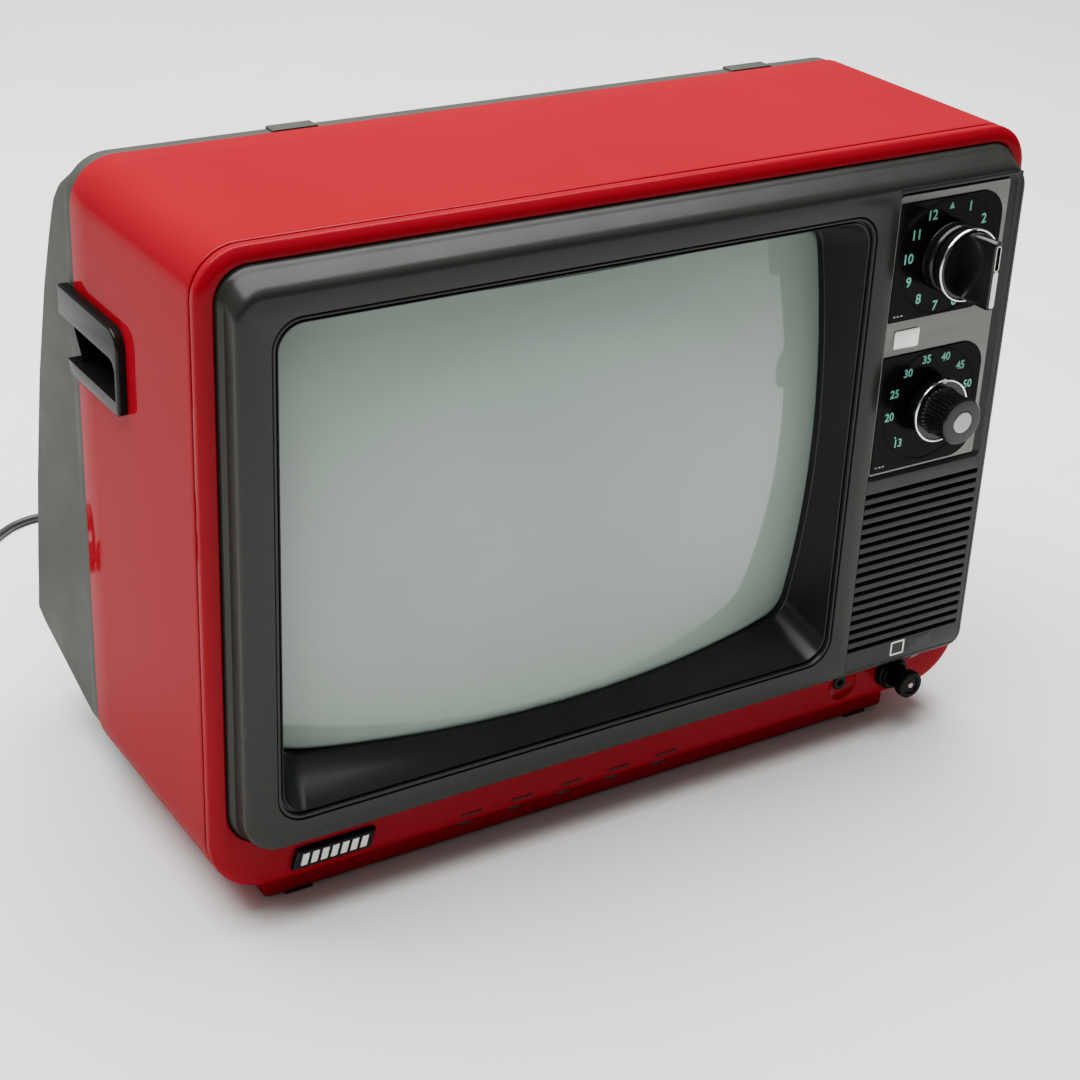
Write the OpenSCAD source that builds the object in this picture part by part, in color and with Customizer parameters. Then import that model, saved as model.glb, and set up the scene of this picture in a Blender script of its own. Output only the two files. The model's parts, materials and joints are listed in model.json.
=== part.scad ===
// Portable colour television with a 14-inch picture tube.
// +X is the viewer's right, +Y runs from the screen to the back, +Z is up.
// The origin is on the floor under the middle of the set without its mains lead.
// Inside the modules y is counted back from the flat front of the bezel.

/* [Cabinet] */
// Width of the moulded cabinet
cab_w = 440; // [434:1:448]
// Height of the cabinet's top above the floor
cab_top = 325; // [322:1:328]
// Height of the cabinet's underside above the floor
cab_bottom = 16; // [15:0.5:17]
// How far the front rim stands behind the bezel face
rim_y = 14; // [13.5:0.5:14.5]
// How far back the cabinet reaches
cab_back = 149; // [147:1:151]
// Wall of the cabinet and of the rear cover
wall = 3.5; // [3:0.5:4]
// Corner radius at the top
corner_top = 22; // [18:1:26]
// Corner radius at the bottom
corner_bottom = 29; // [25:1:32]

/* [Picture tube] */
// Height of the tube's axis above the floor
tube_z = 179; // [178:0.5:179.5]
// Sideways place of the tube's axis
tube_x = -38; // [-40:0.5:-36]
// Half the width of the glass panel
tube_hw = 155; // [152:1:156]
// Half the height of the glass panel
tube_hh = 121; // [119:1:122]
// Radius of the face's curve
face_r = 550; // [500:10:650]
// How far the middle of the face lies behind the bezel face
face_y = 2; // [1:0.5:3]
// Radius of the neck
neck_r = 14.6; // [14:0.2:15]
// How far back the neck ends
neck_end = 312; // [306:1:314]

/* [Controls] */
// Sideways place of both channel knobs
dial_x = 163.5; // [162:0.5:165]
// Height of the upper knob
vhf_z = 270.2; // [269:0.1:271]
// Height of the lower knob
uhf_z = 192.6; // [191:0.1:194]
// Radius of a channel knob's shaft
shaft_r = 3; // [2.8:0.1:3.2]
// Sideways place of the power and volume knob
volume_x = 173; // [171:0.5:175]
// Height of the power and volume knob and of the earphone jack
volume_z = 30.3; // [30:0.1:31]
// Sideways place of the earphone jack
jack_x = 141.3; // [139:0.1:143]
// Radius of the earphone jack's bore
jack_r = 1.8; // [1.75:0.05:1.85]
// Sideways place of the first preset wheel
wheel_x = -85; // [-90:1:-80]
// Distance between two preset wheels
wheel_pitch = 28.5; // [27:0.5:30]

/* [Speaker grille] */
// Number of slots
slots = 17; // [12:1:17]
// Distance between two slots
slot_pitch = 5.5; // [5:0.1:5.5]
// Height of one slot
slot_h = 2.9; // [2:0.1:3.2]

/* [Rear cover] */
// How far back the housing of the tube's neck reaches
hump_back = 361; // [358:1:364]

/* [Mains lead] */
// Diameter of the lead
cord_d = 5; // [4.5:0.5:5]
// Where the lead comes out of the bushing, sideways
cord_x = -100; // [-104:1:-96]
// Height at which it comes out
cord_z = 70; // [66:1:74]

/* [Hidden] */
$fn = 48;
FRONT = -164;              // the bezel face in the part's own frame
CLEAR = 0.3;               // gap between fixed pieces
RUN = 0.05;                // radial running clearance of a shaft
CUT = 1;                   // how far a cutter runs past the face it cuts
ARC_STEPS = 8;             // pieces in a quarter of a rounded outline

half_w = cab_w / 2;
bezel_hw = 209.3;          // bezel at its front crest
bezel_z0 = 44.1;
bezel_z1 = 310.1;
bezel_t = 3.5;             // thickness of the bezel's front
open_x0 = -193.9;          // opening for the screen mask
open_x1 = 118.1;
open_z0 = 57;
open_z1 = 297.9;
open_r = 14;
panel_x0 = 129.5;          // opening for the control panel
panel_x1 = 206;
panel_z0 = 47;
panel_z1 = 307;
panel_t = 3;
speaker_x = 168;
speaker_z = 104;
plate_x0 = 131;            // dial surround and dial plates
plate_x1 = 198.5;
dial_x1 = 195.5;
dial_up = 29.8;            // half the height of a dial plate
dial_r = 14;               // its rounded right-hand corners
uhf_plate_z0 = 160.4;       // lower edge of the lower dial plate
surround_z0 = 158.9;
surround_z1 = 303.8;
slot_x0 = 133;
slot_x1 = 204;
slot_z1 = 148;             // middle of the highest slot
bush_r = 5.2;              // outside of a tuner's threaded bush
skirt_y = 80;              // back edge of the glass panel
lug_d = 48;                // tube lug, measured from the corner's centre
tube_corner = 28;
lug_y = 44;
wheel_y = 27.5;
wheel_r = 8;
wheel_z = 11.8;
wheel_t = 3.5;
wheel_shaft_r = 2;
grip_y0 = 89.5;
grip_y1 = 157.5;
grip_z0 = 226;
grip_z1 = 265.5;
grip_d = 24;               // depth of a grip's pocket behind the side
grip_proud = 4.5;          // how far its rim stands out from the side
mouth_y0 = 93.5;           // where the fingers go in
mouth_y1 = 152.5;
mouth_z0 = 232.6;
mouth_z1 = 251.6;
mouth_lean = 13;           // its back edge is this much shorter at the bottom
mask_side = 8;             // inner edge of the screen mask, from the opening's edge
mask_bottom = 14;
mask_top = 7.6;
flange_in = 1.2;           // the rear cover's flange, from the cabinet's outline
cover_in = 7.5;            // the rear cover's sides, from the cabinet's outline
plinth_x0 = -190;
plinth_x1 = 180;
plinth_y0 = 24;
plinth_y1 = 144;
plinth_z = 1.5;
bushing_y = 250;           // flat seat of the lead's bushing
boot_end = 285;
screw_spots = [[-200, 296], [200, 296], [-196, 62], [196, 62]];
screw_seat = 162;

// The lead's route on the floor, chosen by hand, from the bushing to the coil.
lies = cord_d / 2;         // height of the lead's middle where it lies on the floor
CORD_ROUTE = [
    [cord_x, boot_end, cord_z], [cord_x, 297, cord_z], [-100, 316, 63], [-100, 333, 49],
    [-101, 348, 33], [-102, 362, 19], [-103, 377, 9], [-105, 393, 4], [-108, 410, lies],
    [-114, 426, lies], [-125, 438, lies], [-140, 443, lies], [-156, 440.5, lies],
    [-168, 433.5, lies], [-178, 424.5, lies], [-190, 412.4, lies], [-202, 400.4, lies]
];
coil_x = -236;
coil_y = 418;
coil_turn_r = 29;          // middle of the turns
coil_cols = 4;             // turns side by side
coil_rows = 2;             // turns on top of each other
coil_out = coil_turn_r + coil_cols * cord_d / 2;
coil_in = coil_turn_r - coil_cols * cord_d / 2;
plug_x = -266;             // where the lead goes into the plug
plug_y = coil_y - coil_out + cord_d / 2;
plug_z = 6;
TAIL_ROUTE = [
    [-247, plug_y, coil_rows * cord_d - lies], [-253, plug_y, 7], [-259, plug_y, plug_z],
    [plug_x, plug_y, plug_z]
];

// ---------- outlines ----------

// Points on a quarter circle about (cx, cz).
function quarter(cx, cz, r, a0) =
    [for (i = [0 : ARC_STEPS]) let (a = a0 + 90 * i / ARC_STEPS) [cx + r * cos(a), cz + r * sin(a)]];

// Upright rectangle with rounded corners, upper and lower radii given apart.
function rounded(x0, x1, z0, z1, rt, rb) = concat(
    quarter(x1 - rb, z0 + rb, rb, -90), quarter(x1 - rt, z1 - rt, rt, 0),
    quarter(x0 + rt, z1 - rt, rt, 90), quarter(x0 + rb, z0 + rb, rb, 180)
);

// The cabinet's outline, pulled in by d.
function cabinet_outline(d) = rounded(
    -half_w + d, half_w - d, cab_bottom + d, cab_top - d,
    max(corner_top - d, 1), max(corner_bottom - d, 1)
);

// The bezel's outline: side, bottom and top run back at their own slopes.
function bezel_outline(side, bottom, top) = rounded(
    -bezel_hw - side, bezel_hw + side, bezel_z0 - bottom, bezel_z1 + top, 13 + side, 18 + side
);

// The tube's outline about its axis.
function tube_outline(hw, hh, r) = rounded(
    tube_x - hw, tube_x + hw, tube_z - hh, tube_z + hh, r, r
);

// The screen opening, pulled in by different amounts on its sides.
function opening(side, bottom, top, r) = rounded(
    open_x0 + side, open_x1 - side, open_z0 + bottom, open_z1 - top, r, r
);

// ---------- building blocks ----------

// Moves a piece from bezel coordinates to the part's frame.
module placed() { translate([0, FRONT, 0]) children(); }

// An upright outline made solid from y0 to y1.
module slab(y0, y1) {
    translate([0, y1, 0]) rotate([90, 0, 0]) linear_extrude(y1 - y0) children();
}

// A solid through rings of points that run round it in the same order.
module skin(rings) {
    n = len(rings[0]);
    m = len(rings);
    points = [for (ring = rings) for (p = ring) p];
    sides = [for (k = [0 : m - 2]) for (i = [0 : n - 1])
        [k * n + i, k * n + (i + 1) % n, (k + 1) * n + (i + 1) % n, (k + 1) * n + i]];
    front = [[for (i = [n - 1 : -1 : 0]) i]];
    back = [[for (i = [0 : n - 1]) (m - 1) * n + i]];
    polyhedron(points, concat(front, sides, back), convexity = 6);
}

// A solid through a row of outlines, each given as [y, points].
module loft(sections) {
    skin([for (s = sections) [for (p = s[1]) [p[0], s[0], p[1]]]]);
}

// A side view of [y, z] points made solid from x0 to x1.
module across(x0, x1) {
    translate([x0, 0, 0]) rotate([90, 0, 90]) linear_extrude(x1 - x0) children();
}

// A round bar along Y between y0 and y1.
module bar(x, z, r, y0, y1) {
    translate([x, y1, z]) rotate([90, 0, 0]) cylinder(r = r, h = y1 - y0);
}

// A turned shape about an axis along Y; the profile holds [radius, y] points.
module turned(x, z, profile) {
    translate([x, 0, z]) rotate([-90, 0, 0]) rotate_extrude($fn = 64) polygon(profile);
}

// A block given by its low and high corners.
module block(x, y, z) {
    translate([x[0], y[0], z[0]]) cube([x[1] - x[0], y[1] - y[0], z[1] - z[0]]);
}

// The same shape on both sides of the set.
module both_sides() {
    children();
    mirror([1, 0, 0]) children();
}

// A tube of eight sides along a route; the route never runs along the steady direction.
function unit(v) = v / norm(v);
function heading(route, i) = unit(route[min(i + 1, len(route) - 1)] - route[max(i - 1, 0)]);
function ring(route, i, r, steady) =
    let (t = heading(route, i), u = unit(cross(t, steady)), v = cross(t, u))
    [for (k = [0 : 7]) route[i] + r * (cos(45 * k) * u + sin(45 * k) * v)];
module tube_along(route, r, steady) {
    m = len(route);
    points = [for (i = [0 : m - 1]) for (p = ring(route, i, r, steady)) p];
    sides = [for (i = [0 : m - 2]) for (k = [0 : 7])
        [i * 8 + k, (i + 1) * 8 + k, (i + 1) * 8 + (k + 1) % 8, i * 8 + (k + 1) % 8]];
    start = [[for (k = [0 : 7]) k]];
    end = [[for (k = [7 : -1 : 0]) (m - 1) * 8 + k]];
    polyhedron(points, concat(start, sides, end), convexity = 10);
}

// ---------- cabinet ----------

// Side view of a grip, pulled in by d: its lower back corner is cut away.
function grip_outline(d) = [
    [grip_y0 + d, grip_z0 + d], [grip_y1 - 11.5 - d, grip_z0 + d], [grip_y1 - d, grip_z1 - 14],
    [grip_y1 - d, grip_z1 - d], [grip_y0 + d, grip_z1 - d]
];

// Side grip's hole through the cabinet and the rear cover.
module grip_hole() {
    across(half_w - grip_d - CUT, half_w + CUT) polygon(grip_outline(2));
}

module plinth() {
    difference() {
        block([plinth_x0, plinth_x1], [plinth_y0, plinth_y1], [plinth_z, cab_bottom + CUT]);
        block([plinth_x0 + 3, plinth_x1 - 3], [plinth_y0 + 3, plinth_y1 - 3], [0, cab_bottom]);
    }
}

module front_cabinet() {
    groove = 6.1;
    placed() color("crimson") difference() {
        union() {
            loft([
                [rim_y, cabinet_outline(3)], [rim_y + 1, cabinet_outline(1)],
                [rim_y + 3, cabinet_outline(0)], [rim_y + groove, cabinet_outline(0)],
                [rim_y + groove + 0.4, cabinet_outline(1)], [rim_y + groove + 1.4, cabinet_outline(1)],
                [rim_y + groove + 1.8, cabinet_outline(0)], [cab_back, cabinet_outline(0)]
            ]);
            plinth();
        }
        slab(rim_y + 4, cab_back + CUT) polygon(cabinet_outline(wall));
        slab(rim_y - CUT, rim_y + 5)
            polygon(rounded(-bezel_hw - 2.8, bezel_hw + 2.8, bezel_z0 - 2.8, bezel_z1 + 7.6, 15, 20));
        both_sides() grip_hole();
        bar(volume_x, volume_z, 6.3, rim_y - CUT, rim_y + 5);
        bar(jack_x, volume_z, 4.3, rim_y - CUT, rim_y + 5);
        bar(jack_x, volume_z, 8.5, rim_y - CUT, rim_y + 1.5);
        for (i = [0 : 4]) translate([wheel_x + i * wheel_pitch, 0, 0]) {
            block([-9.5, 9.5], [plinth_y0 - CUT, plinth_y0 + 4], [wheel_z - 0.7, wheel_z + wheel_t + 0.5]);
            translate([0, wheel_y, cab_bottom - CUT]) cylinder(r = wheel_shaft_r + 1, h = wall + 2 * CUT);
        }
    }
    placed() color("crimson") for (s = screw_spots) cabinet_post(s);
}

// Post inside the cabinet that a rear screw bites into.
module cabinet_post(s) {
    side = s[0] > 0 ? 1 : -1;
    difference() {
        union() {
            bar(s[0], s[1], 6, 112, cab_back - CLEAR);
            block([min(s[0], side * (half_w - 2)), max(s[0], side * (half_w - 2))],
                  [112, cab_back - CLEAR], [s[1] - 1.5, s[1] + 1.5]);
        }
        bar(s[0], s[1], 2.3, 130, cab_back);
    }
}

module bezel() {
    placed() color([0.2, 0.2, 0.19]) {
        difference() {
            loft([
                [0, bezel_outline(-2, -2, -2)], [0.6, bezel_outline(-0.6, -0.6, -0.6)],
                [2, bezel_outline(0, 0, 1)], [10, bezel_outline(0.5, 0.5, 5.3)],
                [rim_y, bezel_outline(2.5, 2.5, 7.3)], [20, bezel_outline(2.5, 2.5, 7.3)]
            ]);
            loft([
                [bezel_t, bezel_outline(-3, -3, -2)], [10, bezel_outline(-3, -3, 2)],
                [20 + CUT, bezel_outline(-1, -1, 4)]
            ]);
            slab(-CUT, 22) polygon(opening(0, 0, 0, open_r));
            block([panel_x0, panel_x1], [-CUT, bezel_t + CUT], [panel_z0, panel_z1]);
        }
        difference() {
            for (p = lug_spots()) bar(p[0], p[1], 5.5, bezel_t - 0.5, lug_y);
            for (p = lug_spots()) bar(p[0], p[1], 2.3, 20, lug_y + CUT);
        }
    }
}

// Where the tube's four lugs are screwed.
function lug_spots() = let (d = lug_d * sin(45), x = tube_hw - tube_corner + d, z = tube_hh - tube_corner + d)
    [for (sx = [-1, 1]) for (sz = [-1, 1]) [tube_x + sx * x, tube_z + sz * z]];

// How far back the tube's face lies at a point of the front view.
function face_at(p) =
    face_y + face_r - sqrt(pow(face_r, 2) - pow(p[0] - tube_x, 2) - pow(p[1] - tube_z, 2));

// A rounded outline with points added along its straight sides, from the middle of its first corner on.
function finer(points, spans = 6) = let (n = len(points))
    [for (j = [0 : n - 1]) let (i = (j + ARC_STEPS / 2) % n) each
        i % (ARC_STEPS + 1) == ARC_STEPS
            ? [for (k = [0 : spans - 1]) points[i] + (points[(i + 1) % n] - points[i]) * k / spans]
            : [points[i]]];

// The same as a ring in space: upright at y, or following the tube's face, behind it by a distance.
function upright(y, points) = [for (p = finer(points)) [p[0], y, p[1]]];
function on_face(behind, points) = [for (p = finer(points)) [p[0], face_at(p) + behind, p[1]]];

module screen_mask() {
    lip = 4;               // how far its inner edge stands in front of the glass
    sheet = 2.5;           // its thickness
    deep = 46;             // how far back the shapes run; the glass's room is cut off again
    outer = opening(CLEAR, CLEAR, CLEAR, open_r);
    outer_end = opening(mask_side - sheet, mask_bottom - sheet, mask_top - sheet, 15);
    inner = opening(2.2, 2, 2, 12);
    inner_end = opening(mask_side, mask_bottom, mask_top, 14);
    placed() color([0.03, 0.03, 0.03]) difference() {
        union() {
            slab(bezel_t, bezel_t + 2) polygon(opening(-3.5, -3.5, -3.5, open_r + 3));
            skin([upright(1, outer), upright(bezel_t + 2, outer), on_face(1.5 - lip, outer_end),
                  upright(deep, outer_end)]);
        }
        skin([upright(1 - CUT, inner), upright(1, inner), on_face(-lip, inner_end),
              upright(deep + CUT, inner_end)]);
        face_ball(CLEAR);
    }
}

// The ball whose front is the tube's face, grown by d.
module face_ball(d) {
    translate([tube_x, face_y + face_r, tube_z]) sphere(r = face_r + d, $fn = 200);
}

// ---------- control column ----------

module shaft_holes(r) {
    bar(dial_x, vhf_z, r, -CUT, 6);
    bar(dial_x, uhf_z, r, -CUT, 6);
}

module control_panel() {
    placed() color([0.21, 0.21, 0.2]) difference() {
        block([panel_x0 + CLEAR, panel_x1 - CLEAR], [0, panel_t], [panel_z0 + CLEAR, panel_z1 - CLEAR]);
        block([plate_x0 - 0.2, plate_x1 + 0.2], [-CUT, 1.5], [surround_z0 - 0.2, surround_z1 + 0.2]);
        shaft_holes(bush_r + 0.4);
        for (i = [0 : slots - 1])
            block([slot_x0, slot_x1], [-CUT, panel_t + CUT],
                  [slot_z1 - i * slot_pitch - slot_h / 2, slot_z1 - i * slot_pitch + slot_h / 2]);
    }
}

module dial_surround() {
    placed() color([0.27, 0.27, 0.26]) difference() {
        block([plate_x0, plate_x1], [0.7, 1.5], [surround_z0, surround_z1]);
        shaft_holes(bush_r + 0.4);
    }
}

module dial_plate(z0, z1) {
    placed() color([0.02, 0.02, 0.02]) difference() {
        slab(0.1, 0.7) polygon(concat(
            quarter(dial_x1 - dial_r, z0 + dial_r, dial_r, -90),
            quarter(dial_x1 - dial_r, z1 - dial_r, dial_r, 0),
            [[plate_x0, z1], [plate_x0, z0]]
        ));
        shaft_holes(bush_r + 0.4);
    }
}

module badge_plates() {
    placed() color("silver") {
        slab(rim_y - 3, rim_y) polygon([
            [-181.5, 22], [-141, 22], [-138.4, 32], [-179, 32]
        ]);
        block([136, 152], [0.1, 0.7], [uhf_z + dial_up + 3.4, vhf_z - dial_up - 5]);
    }
}

// ---------- picture tube ----------

module tube_faceplate() {
    placed() color([0.55, 0.62, 0.58]) difference() {
        intersection() {
            face_ball(0);
            slab(0, skirt_y) polygon(tube_outline(tube_hw, tube_hh, tube_corner));
        }
        intersection() {
            face_ball(-11);
            slab(0, skirt_y + CUT) polygon(tube_outline(tube_hw - 9, tube_hh - 9, tube_corner - 8));
        }
    }
}

function funnel_sections(t) = [
    [skirt_y, tube_outline(tube_hw - t, tube_hh - t, tube_corner - t / 2)],
    [110, tube_outline(140 - t, 112 - t, 44 - t)],
    [140, tube_outline(108 - t, 92 - t, 54 - t)],
    [170, tube_outline(70 - t, 64 - t, 50 - t)],
    [192, tube_outline(38 - t, 36 - t, 33 - t)],
    [204, tube_outline(20 - t, 20 - t, 19.9 - t)],
    [214, tube_outline(neck_r - 0.1 - t / 2, neck_r - 0.1 - t / 2, neck_r - 0.2 - t / 2)]
];

module tube_funnel() {
    placed() color([0.12, 0.12, 0.13]) {
        difference() {
            union() {
                loft(funnel_sections(0));
                bar(tube_x, tube_z, neck_r, 212, neck_end);
            }
            loft(funnel_sections(4));
            translate([0, -0.5, 0]) slab(skirt_y, skirt_y + 1)
                polygon(tube_outline(tube_hw - 4, tube_hh - 4, tube_corner - 2));
            bar(tube_x, tube_z, neck_r - 2.1, 208, neck_end - 3);
        }
    }
}

module shadow_mask() {
    placed() color("dimgray") difference() {
        intersection() {
            face_ball(-26);
            slab(0, 74) polygon(tube_outline(tube_hw - 14, tube_hh - 14, 16));
        }
        face_ball(-27);
        block([-400, 400], [60, 400], [0, 400]);
    }
    placed() color("dimgray") difference() {
        slab(56, 74) polygon(tube_outline(tube_hw - 11, tube_hh - 11, 18));
        slab(50, 80) polygon(tube_outline(tube_hw - 16, tube_hh - 16, 14));
    }
}

module electron_gun() {
    placed() color("silver") turned(tube_x, tube_z, [
        [0, 222], [8, 222], [8, 236], [10.5, 236], [10.5, 240], [8, 240], [8, 252], [10.5, 252],
        [10.5, 256], [7, 256], [7, 268], [9.5, 268], [9.5, 272], [7, 272], [7, 290], [3, 290],
        [3, neck_end - 3], [0, neck_end - 3]
    ]);
}

module tube_rimband() {
    placed() color("lightgray") difference() {
        union() {
            slab(lug_y - 2, lug_y + 14)
                polygon(tube_outline(tube_hw + 1.4, tube_hh + 1.4, tube_corner + 1.4));
            for (sx = [-1, 1]) for (sz = [-1, 1]) {
                corner = [tube_x + sx * (tube_hw - tube_corner), 0, tube_z + sz * (tube_hh - tube_corner)];
                translate(corner) rotate([0, sx * sz > 0 ? -45 : 45, 0])
                    block([sx > 0 ? 24 : -lug_d, sx > 0 ? lug_d : -24], [lug_y, lug_y + 2.5], [-5.5, 5.5]);
            }
            for (p = lug_spots()) bar(p[0], p[1], 7, lug_y, lug_y + 2.5);
        }
        slab(lug_y - 3, lug_y + 15) polygon(tube_outline(tube_hw + 0.1, tube_hh + 0.1, tube_corner + 0.1));
        for (p = lug_spots()) bar(p[0], p[1], 2.6, lug_y - CUT, lug_y + 4);
    }
}

module screw(x, z, head_y, tip_y, head_r) {
    turned(x, z, [[0, tip_y], [1.2, tip_y], [2.2, tip_y + 3], [2.2, head_y], [head_r, head_y],
                  [head_r, head_y + 1.6], [head_r - 1.2, head_y + 3], [0, head_y + 3]]);
}

module tube_screws() {
    placed() color("gold") for (p = lug_spots()) screw(p[0], p[1], lug_y + 2.5, 24, 5);
}

module yoke_core() {
    placed() color([0.25, 0.23, 0.22]) turned(tube_x, tube_z, [
        [47, 200], [56, 200], [50, 222], [40, 240], [34, 240], [34, 232], [40, 218]
    ]);
}

module yoke_coils() {
    placed() color([0.72, 0.38, 0.16]) turned(tube_x, tube_z, [
        [45, 193], [60, 193], [60, 199], [46.5, 199], [39, 217], [33, 231], [33, 241], [41, 241],
        [41, 248], [neck_r + 1, 248], [neck_r + 1, 216], [24, 207], [33, 199]
    ]);
}

module neck_magnets() {
    placed() color("whitesmoke") {
        turned(tube_x, tube_z, [
            [neck_r + 0.2, 250], [19, 250], [19, 262], [27, 262], [27, 265], [19, 265],
            [19, 268], [27, 268], [27, 271], [19, 271], [19, 274], [27, 274], [27, 277],
            [19, 277], [19, 284], [neck_r + 0.2, 284]
        ]);
        for (y = [262, 268, 274]) block([tube_x - 2.5, tube_x + 2.5], [y, y + 3], [tube_z + 26, tube_z + 36]);
    }
}

module tube_socket_board() {
    placed() {
        color("saddlebrown") difference() {
            block([tube_x - 34, tube_x + 34], [316, 317.6], [tube_z - 38, tube_z + 30]);
            bar(tube_x, tube_z, 10, 315, 318);
        }
        color("beige") difference() {
            bar(tube_x, tube_z, 17, 296, 330);
            bar(tube_x, tube_z, neck_r + 0.3, 295, neck_end + 0.3);
        }
    }
}

// Rubber cap on top of the funnel, and the high-voltage lead down to the transformer.
module anode_lead() {
    slope = 33.7;
    route = [
        [-24, 142, tube_z + 101.5], [4, 143, 280], [34, 146, 275], [60, 147, 262], [82, 148, 236],
        [96, 148, 202], [102, 146, 166], [104, 142, 132], [103, 134, 112], [103, 130, 98], [103, 130, 90]
    ];
    placed() color([0.35, 0.08, 0.06]) {
        tube_along(route, 2, [0, 1, 0]);
        translate([-30, 138, tube_z + 97]) rotate([-slope, 0, 0]) {
            cylinder(r = 15, h = 4);
            cylinder(r = 9, h = 9);
        }
        translate([-32, 142, tube_z + 101.5]) rotate([0, 90, 0]) cylinder(r = 3.4, h = 14);
    }
}

module degauss_coil() {
    r = 4;
    gap = 8 + r;
    hw = tube_hw + gap;
    hh = tube_hh + gap;
    c = tube_corner + gap;
    placed() color([0.1, 0.1, 0.12]) translate([tube_x, 68, tube_z]) {
        for (s = [-1, 1]) {
            translate([-(hw - c), 0, s * hh]) rotate([0, 90, 0]) cylinder(r = r, h = 2 * (hw - c), $fn = 24);
            translate([s * hw, 0, -(hh - c)]) cylinder(r = r, h = 2 * (hh - c), $fn = 24);
        }
        for (q = [[1, 1, 0], [-1, 1, 90], [-1, -1, 180], [1, -1, 270]])
            translate([q[0] * (hw - c), 0, q[1] * (hh - c)]) rotate([90, 0, 0])
                rotate([0, 0, q[2]]) rotate_extrude(angle = 90) translate([c, 0]) circle(r = r, $fn = 24);
    }
}

// ---------- tuners, speaker and small controls ----------

module vhf_tuner() {
    placed() color("silver") difference() {
        union() {
            block([138, 194], [14, 96], [vhf_z - 22, vhf_z + 22]);
            bar(dial_x, vhf_z, bush_r, 1.8, 14);
            bar(dial_x, vhf_z, 8, 11, 14);
        }
        bar(dial_x, vhf_z, 4.5 + RUN, 1, 32);
    }
}

module uhf_tuner() {
    placed() color("silver") difference() {
        union() {
            block([138, 190], [14, 72], [uhf_z - 20, uhf_z + 20]);
            bar(dial_x, uhf_z, bush_r, 1.8, 14);
            bar(dial_x, uhf_z, 8, 11, 14);
        }
        bar(dial_x, uhf_z, shaft_r + RUN, 1, 34);
    }
}

module speaker_frame() {
    placed() color("slategray") {
        turned(speaker_x, speaker_z, [
            [29, 3.4], [33.5, 3.4], [33.5, 5], [30.5, 6], [18, 20], [18, 24], [26, 24], [26, 36],
            [6, 36], [6, 40], [0, 40], [0, 27], [11, 27], [11, 21.5], [16.5, 20], [29, 5.6]
        ]);
    }
}

module speaker_cone() {
    placed() color([0.12, 0.11, 0.1]) turned(speaker_x, speaker_z, [
        [28.8, 4], [28.8, 5], [13.5, 18.6], [9.5, 18.6], [9.5, 25], [8.7, 25], [8.7, 16.2],
        [0, 14.2], [0, 13.2], [9.4, 15.2], [13, 17.2], [27, 4]
    ]);
}

module volume_collar() {
    placed() color([0.03, 0.03, 0.03]) turned(volume_x, volume_z, [
        [6.3, 7.5], [8, 7.5], [9.4, 9], [9.6, rim_y], [6.3, rim_y]
    ]);
}

module volume_pot() {
    placed() color("silver") difference() {
        union() {
            bar(volume_x, volume_z, 10, 23, 47);
            bar(volume_x, volume_z, 6, 15, 23);
            bar(volume_x, volume_z, 9, rim_y + 4.2, 20);
        }
        bar(volume_x, volume_z, 4.5 + RUN, 14, 44);
    }
}

module earphone_jack() {
    placed() color([0.1, 0.1, 0.1]) difference() {
        union() {
            bar(jack_x, volume_z, 4, rim_y + 1.5, 20);
            bar(jack_x, volume_z, 6.5, rim_y + 4.2, 20);
            block([jack_x - 6, jack_x + 6], [20, 38], [volume_z - 6, volume_z + 6]);
        }
        bar(jack_x, volume_z, jack_r, rim_y + 0.5, 33);
    }
}

module preset_board() {
    placed() {
        color("saddlebrown") block([wheel_x - 16, wheel_x + 4 * wheel_pitch + 16], [21, 44], [31, 32.6]);
        color("royalblue") difference() {
            for (i = [0 : 4]) block([wheel_x + i * wheel_pitch - 7, wheel_x + i * wheel_pitch + 7],
                                    [wheel_y - 6, wheel_y + 9], [20.5, 31]);
            for (i = [0 : 4]) translate([wheel_x + i * wheel_pitch, wheel_y, 20])
                cylinder(r = wheel_shaft_r + RUN, h = 8);
        }
    }
}

// ---------- chassis ----------

module main_board() {
    placed() {
        color("saddlebrown") block([-185, 122], [60, 146], [24, 25.6]);
        color("gray") {
            for (i = [0 : 5]) block([-150 + 38 * i, -128 + 38 * i], [70, 76], [25.6, 36]);
            for (i = [0 : 7]) translate([-160 + 30 * i, 86, 25.6]) cylinder(r = 4, h = 12);
            for (i = [0 : 3]) block([-60 + 30 * i, -46 + 30 * i], [96, 110], [25.6, 42]);
        }
        color("gray") for (x = [-178, -30, 112]) for (y = [66, 140])
            translate([x, y, cab_bottom + wall]) cylinder(r = 3.5, h = 24 - cab_bottom - wall);
    }
}

module flyback_transformer() {
    placed() {
        color([0.15, 0.15, 0.15]) {
            translate([103, 127, 25.6]) cylinder(r = 17, h = 44);
            translate([103, 130, 69]) cylinder(r = 7, h = 21);
        }
        color("dimgray") difference() {
            block([98, 108], [94, 112], [26, 66]);
            block([97, 109], [98, 105], [36, 56]);
        }
    }
}

module filter_capacitors() {
    placed() color("midnightblue") {
        translate([-128, 128, 25.6]) cylinder(r = 17.5, h = 38);
        translate([-86, 130, 25.6]) cylinder(r = 12.5, h = 38);
        translate([-54, 132, 25.6]) cylinder(r = 9, h = 30);
        translate([-158, 100, 25.6]) cylinder(r = 8, h = 26);
    }
}

module heat_sink() {
    placed() {
        color("silver") {
            block([-176, -173.5], [112, 144], [25.6, 96]);
            for (i = [0 : 4]) block([-184, -176], [113 + 7 * i, 114.6 + 7 * i], [30, 96]);
        }
        color([0.1, 0.1, 0.1]) block([-173.5, -169], [118, 134], [50, 70]);
    }
}

// ---------- rear cover ----------

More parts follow.
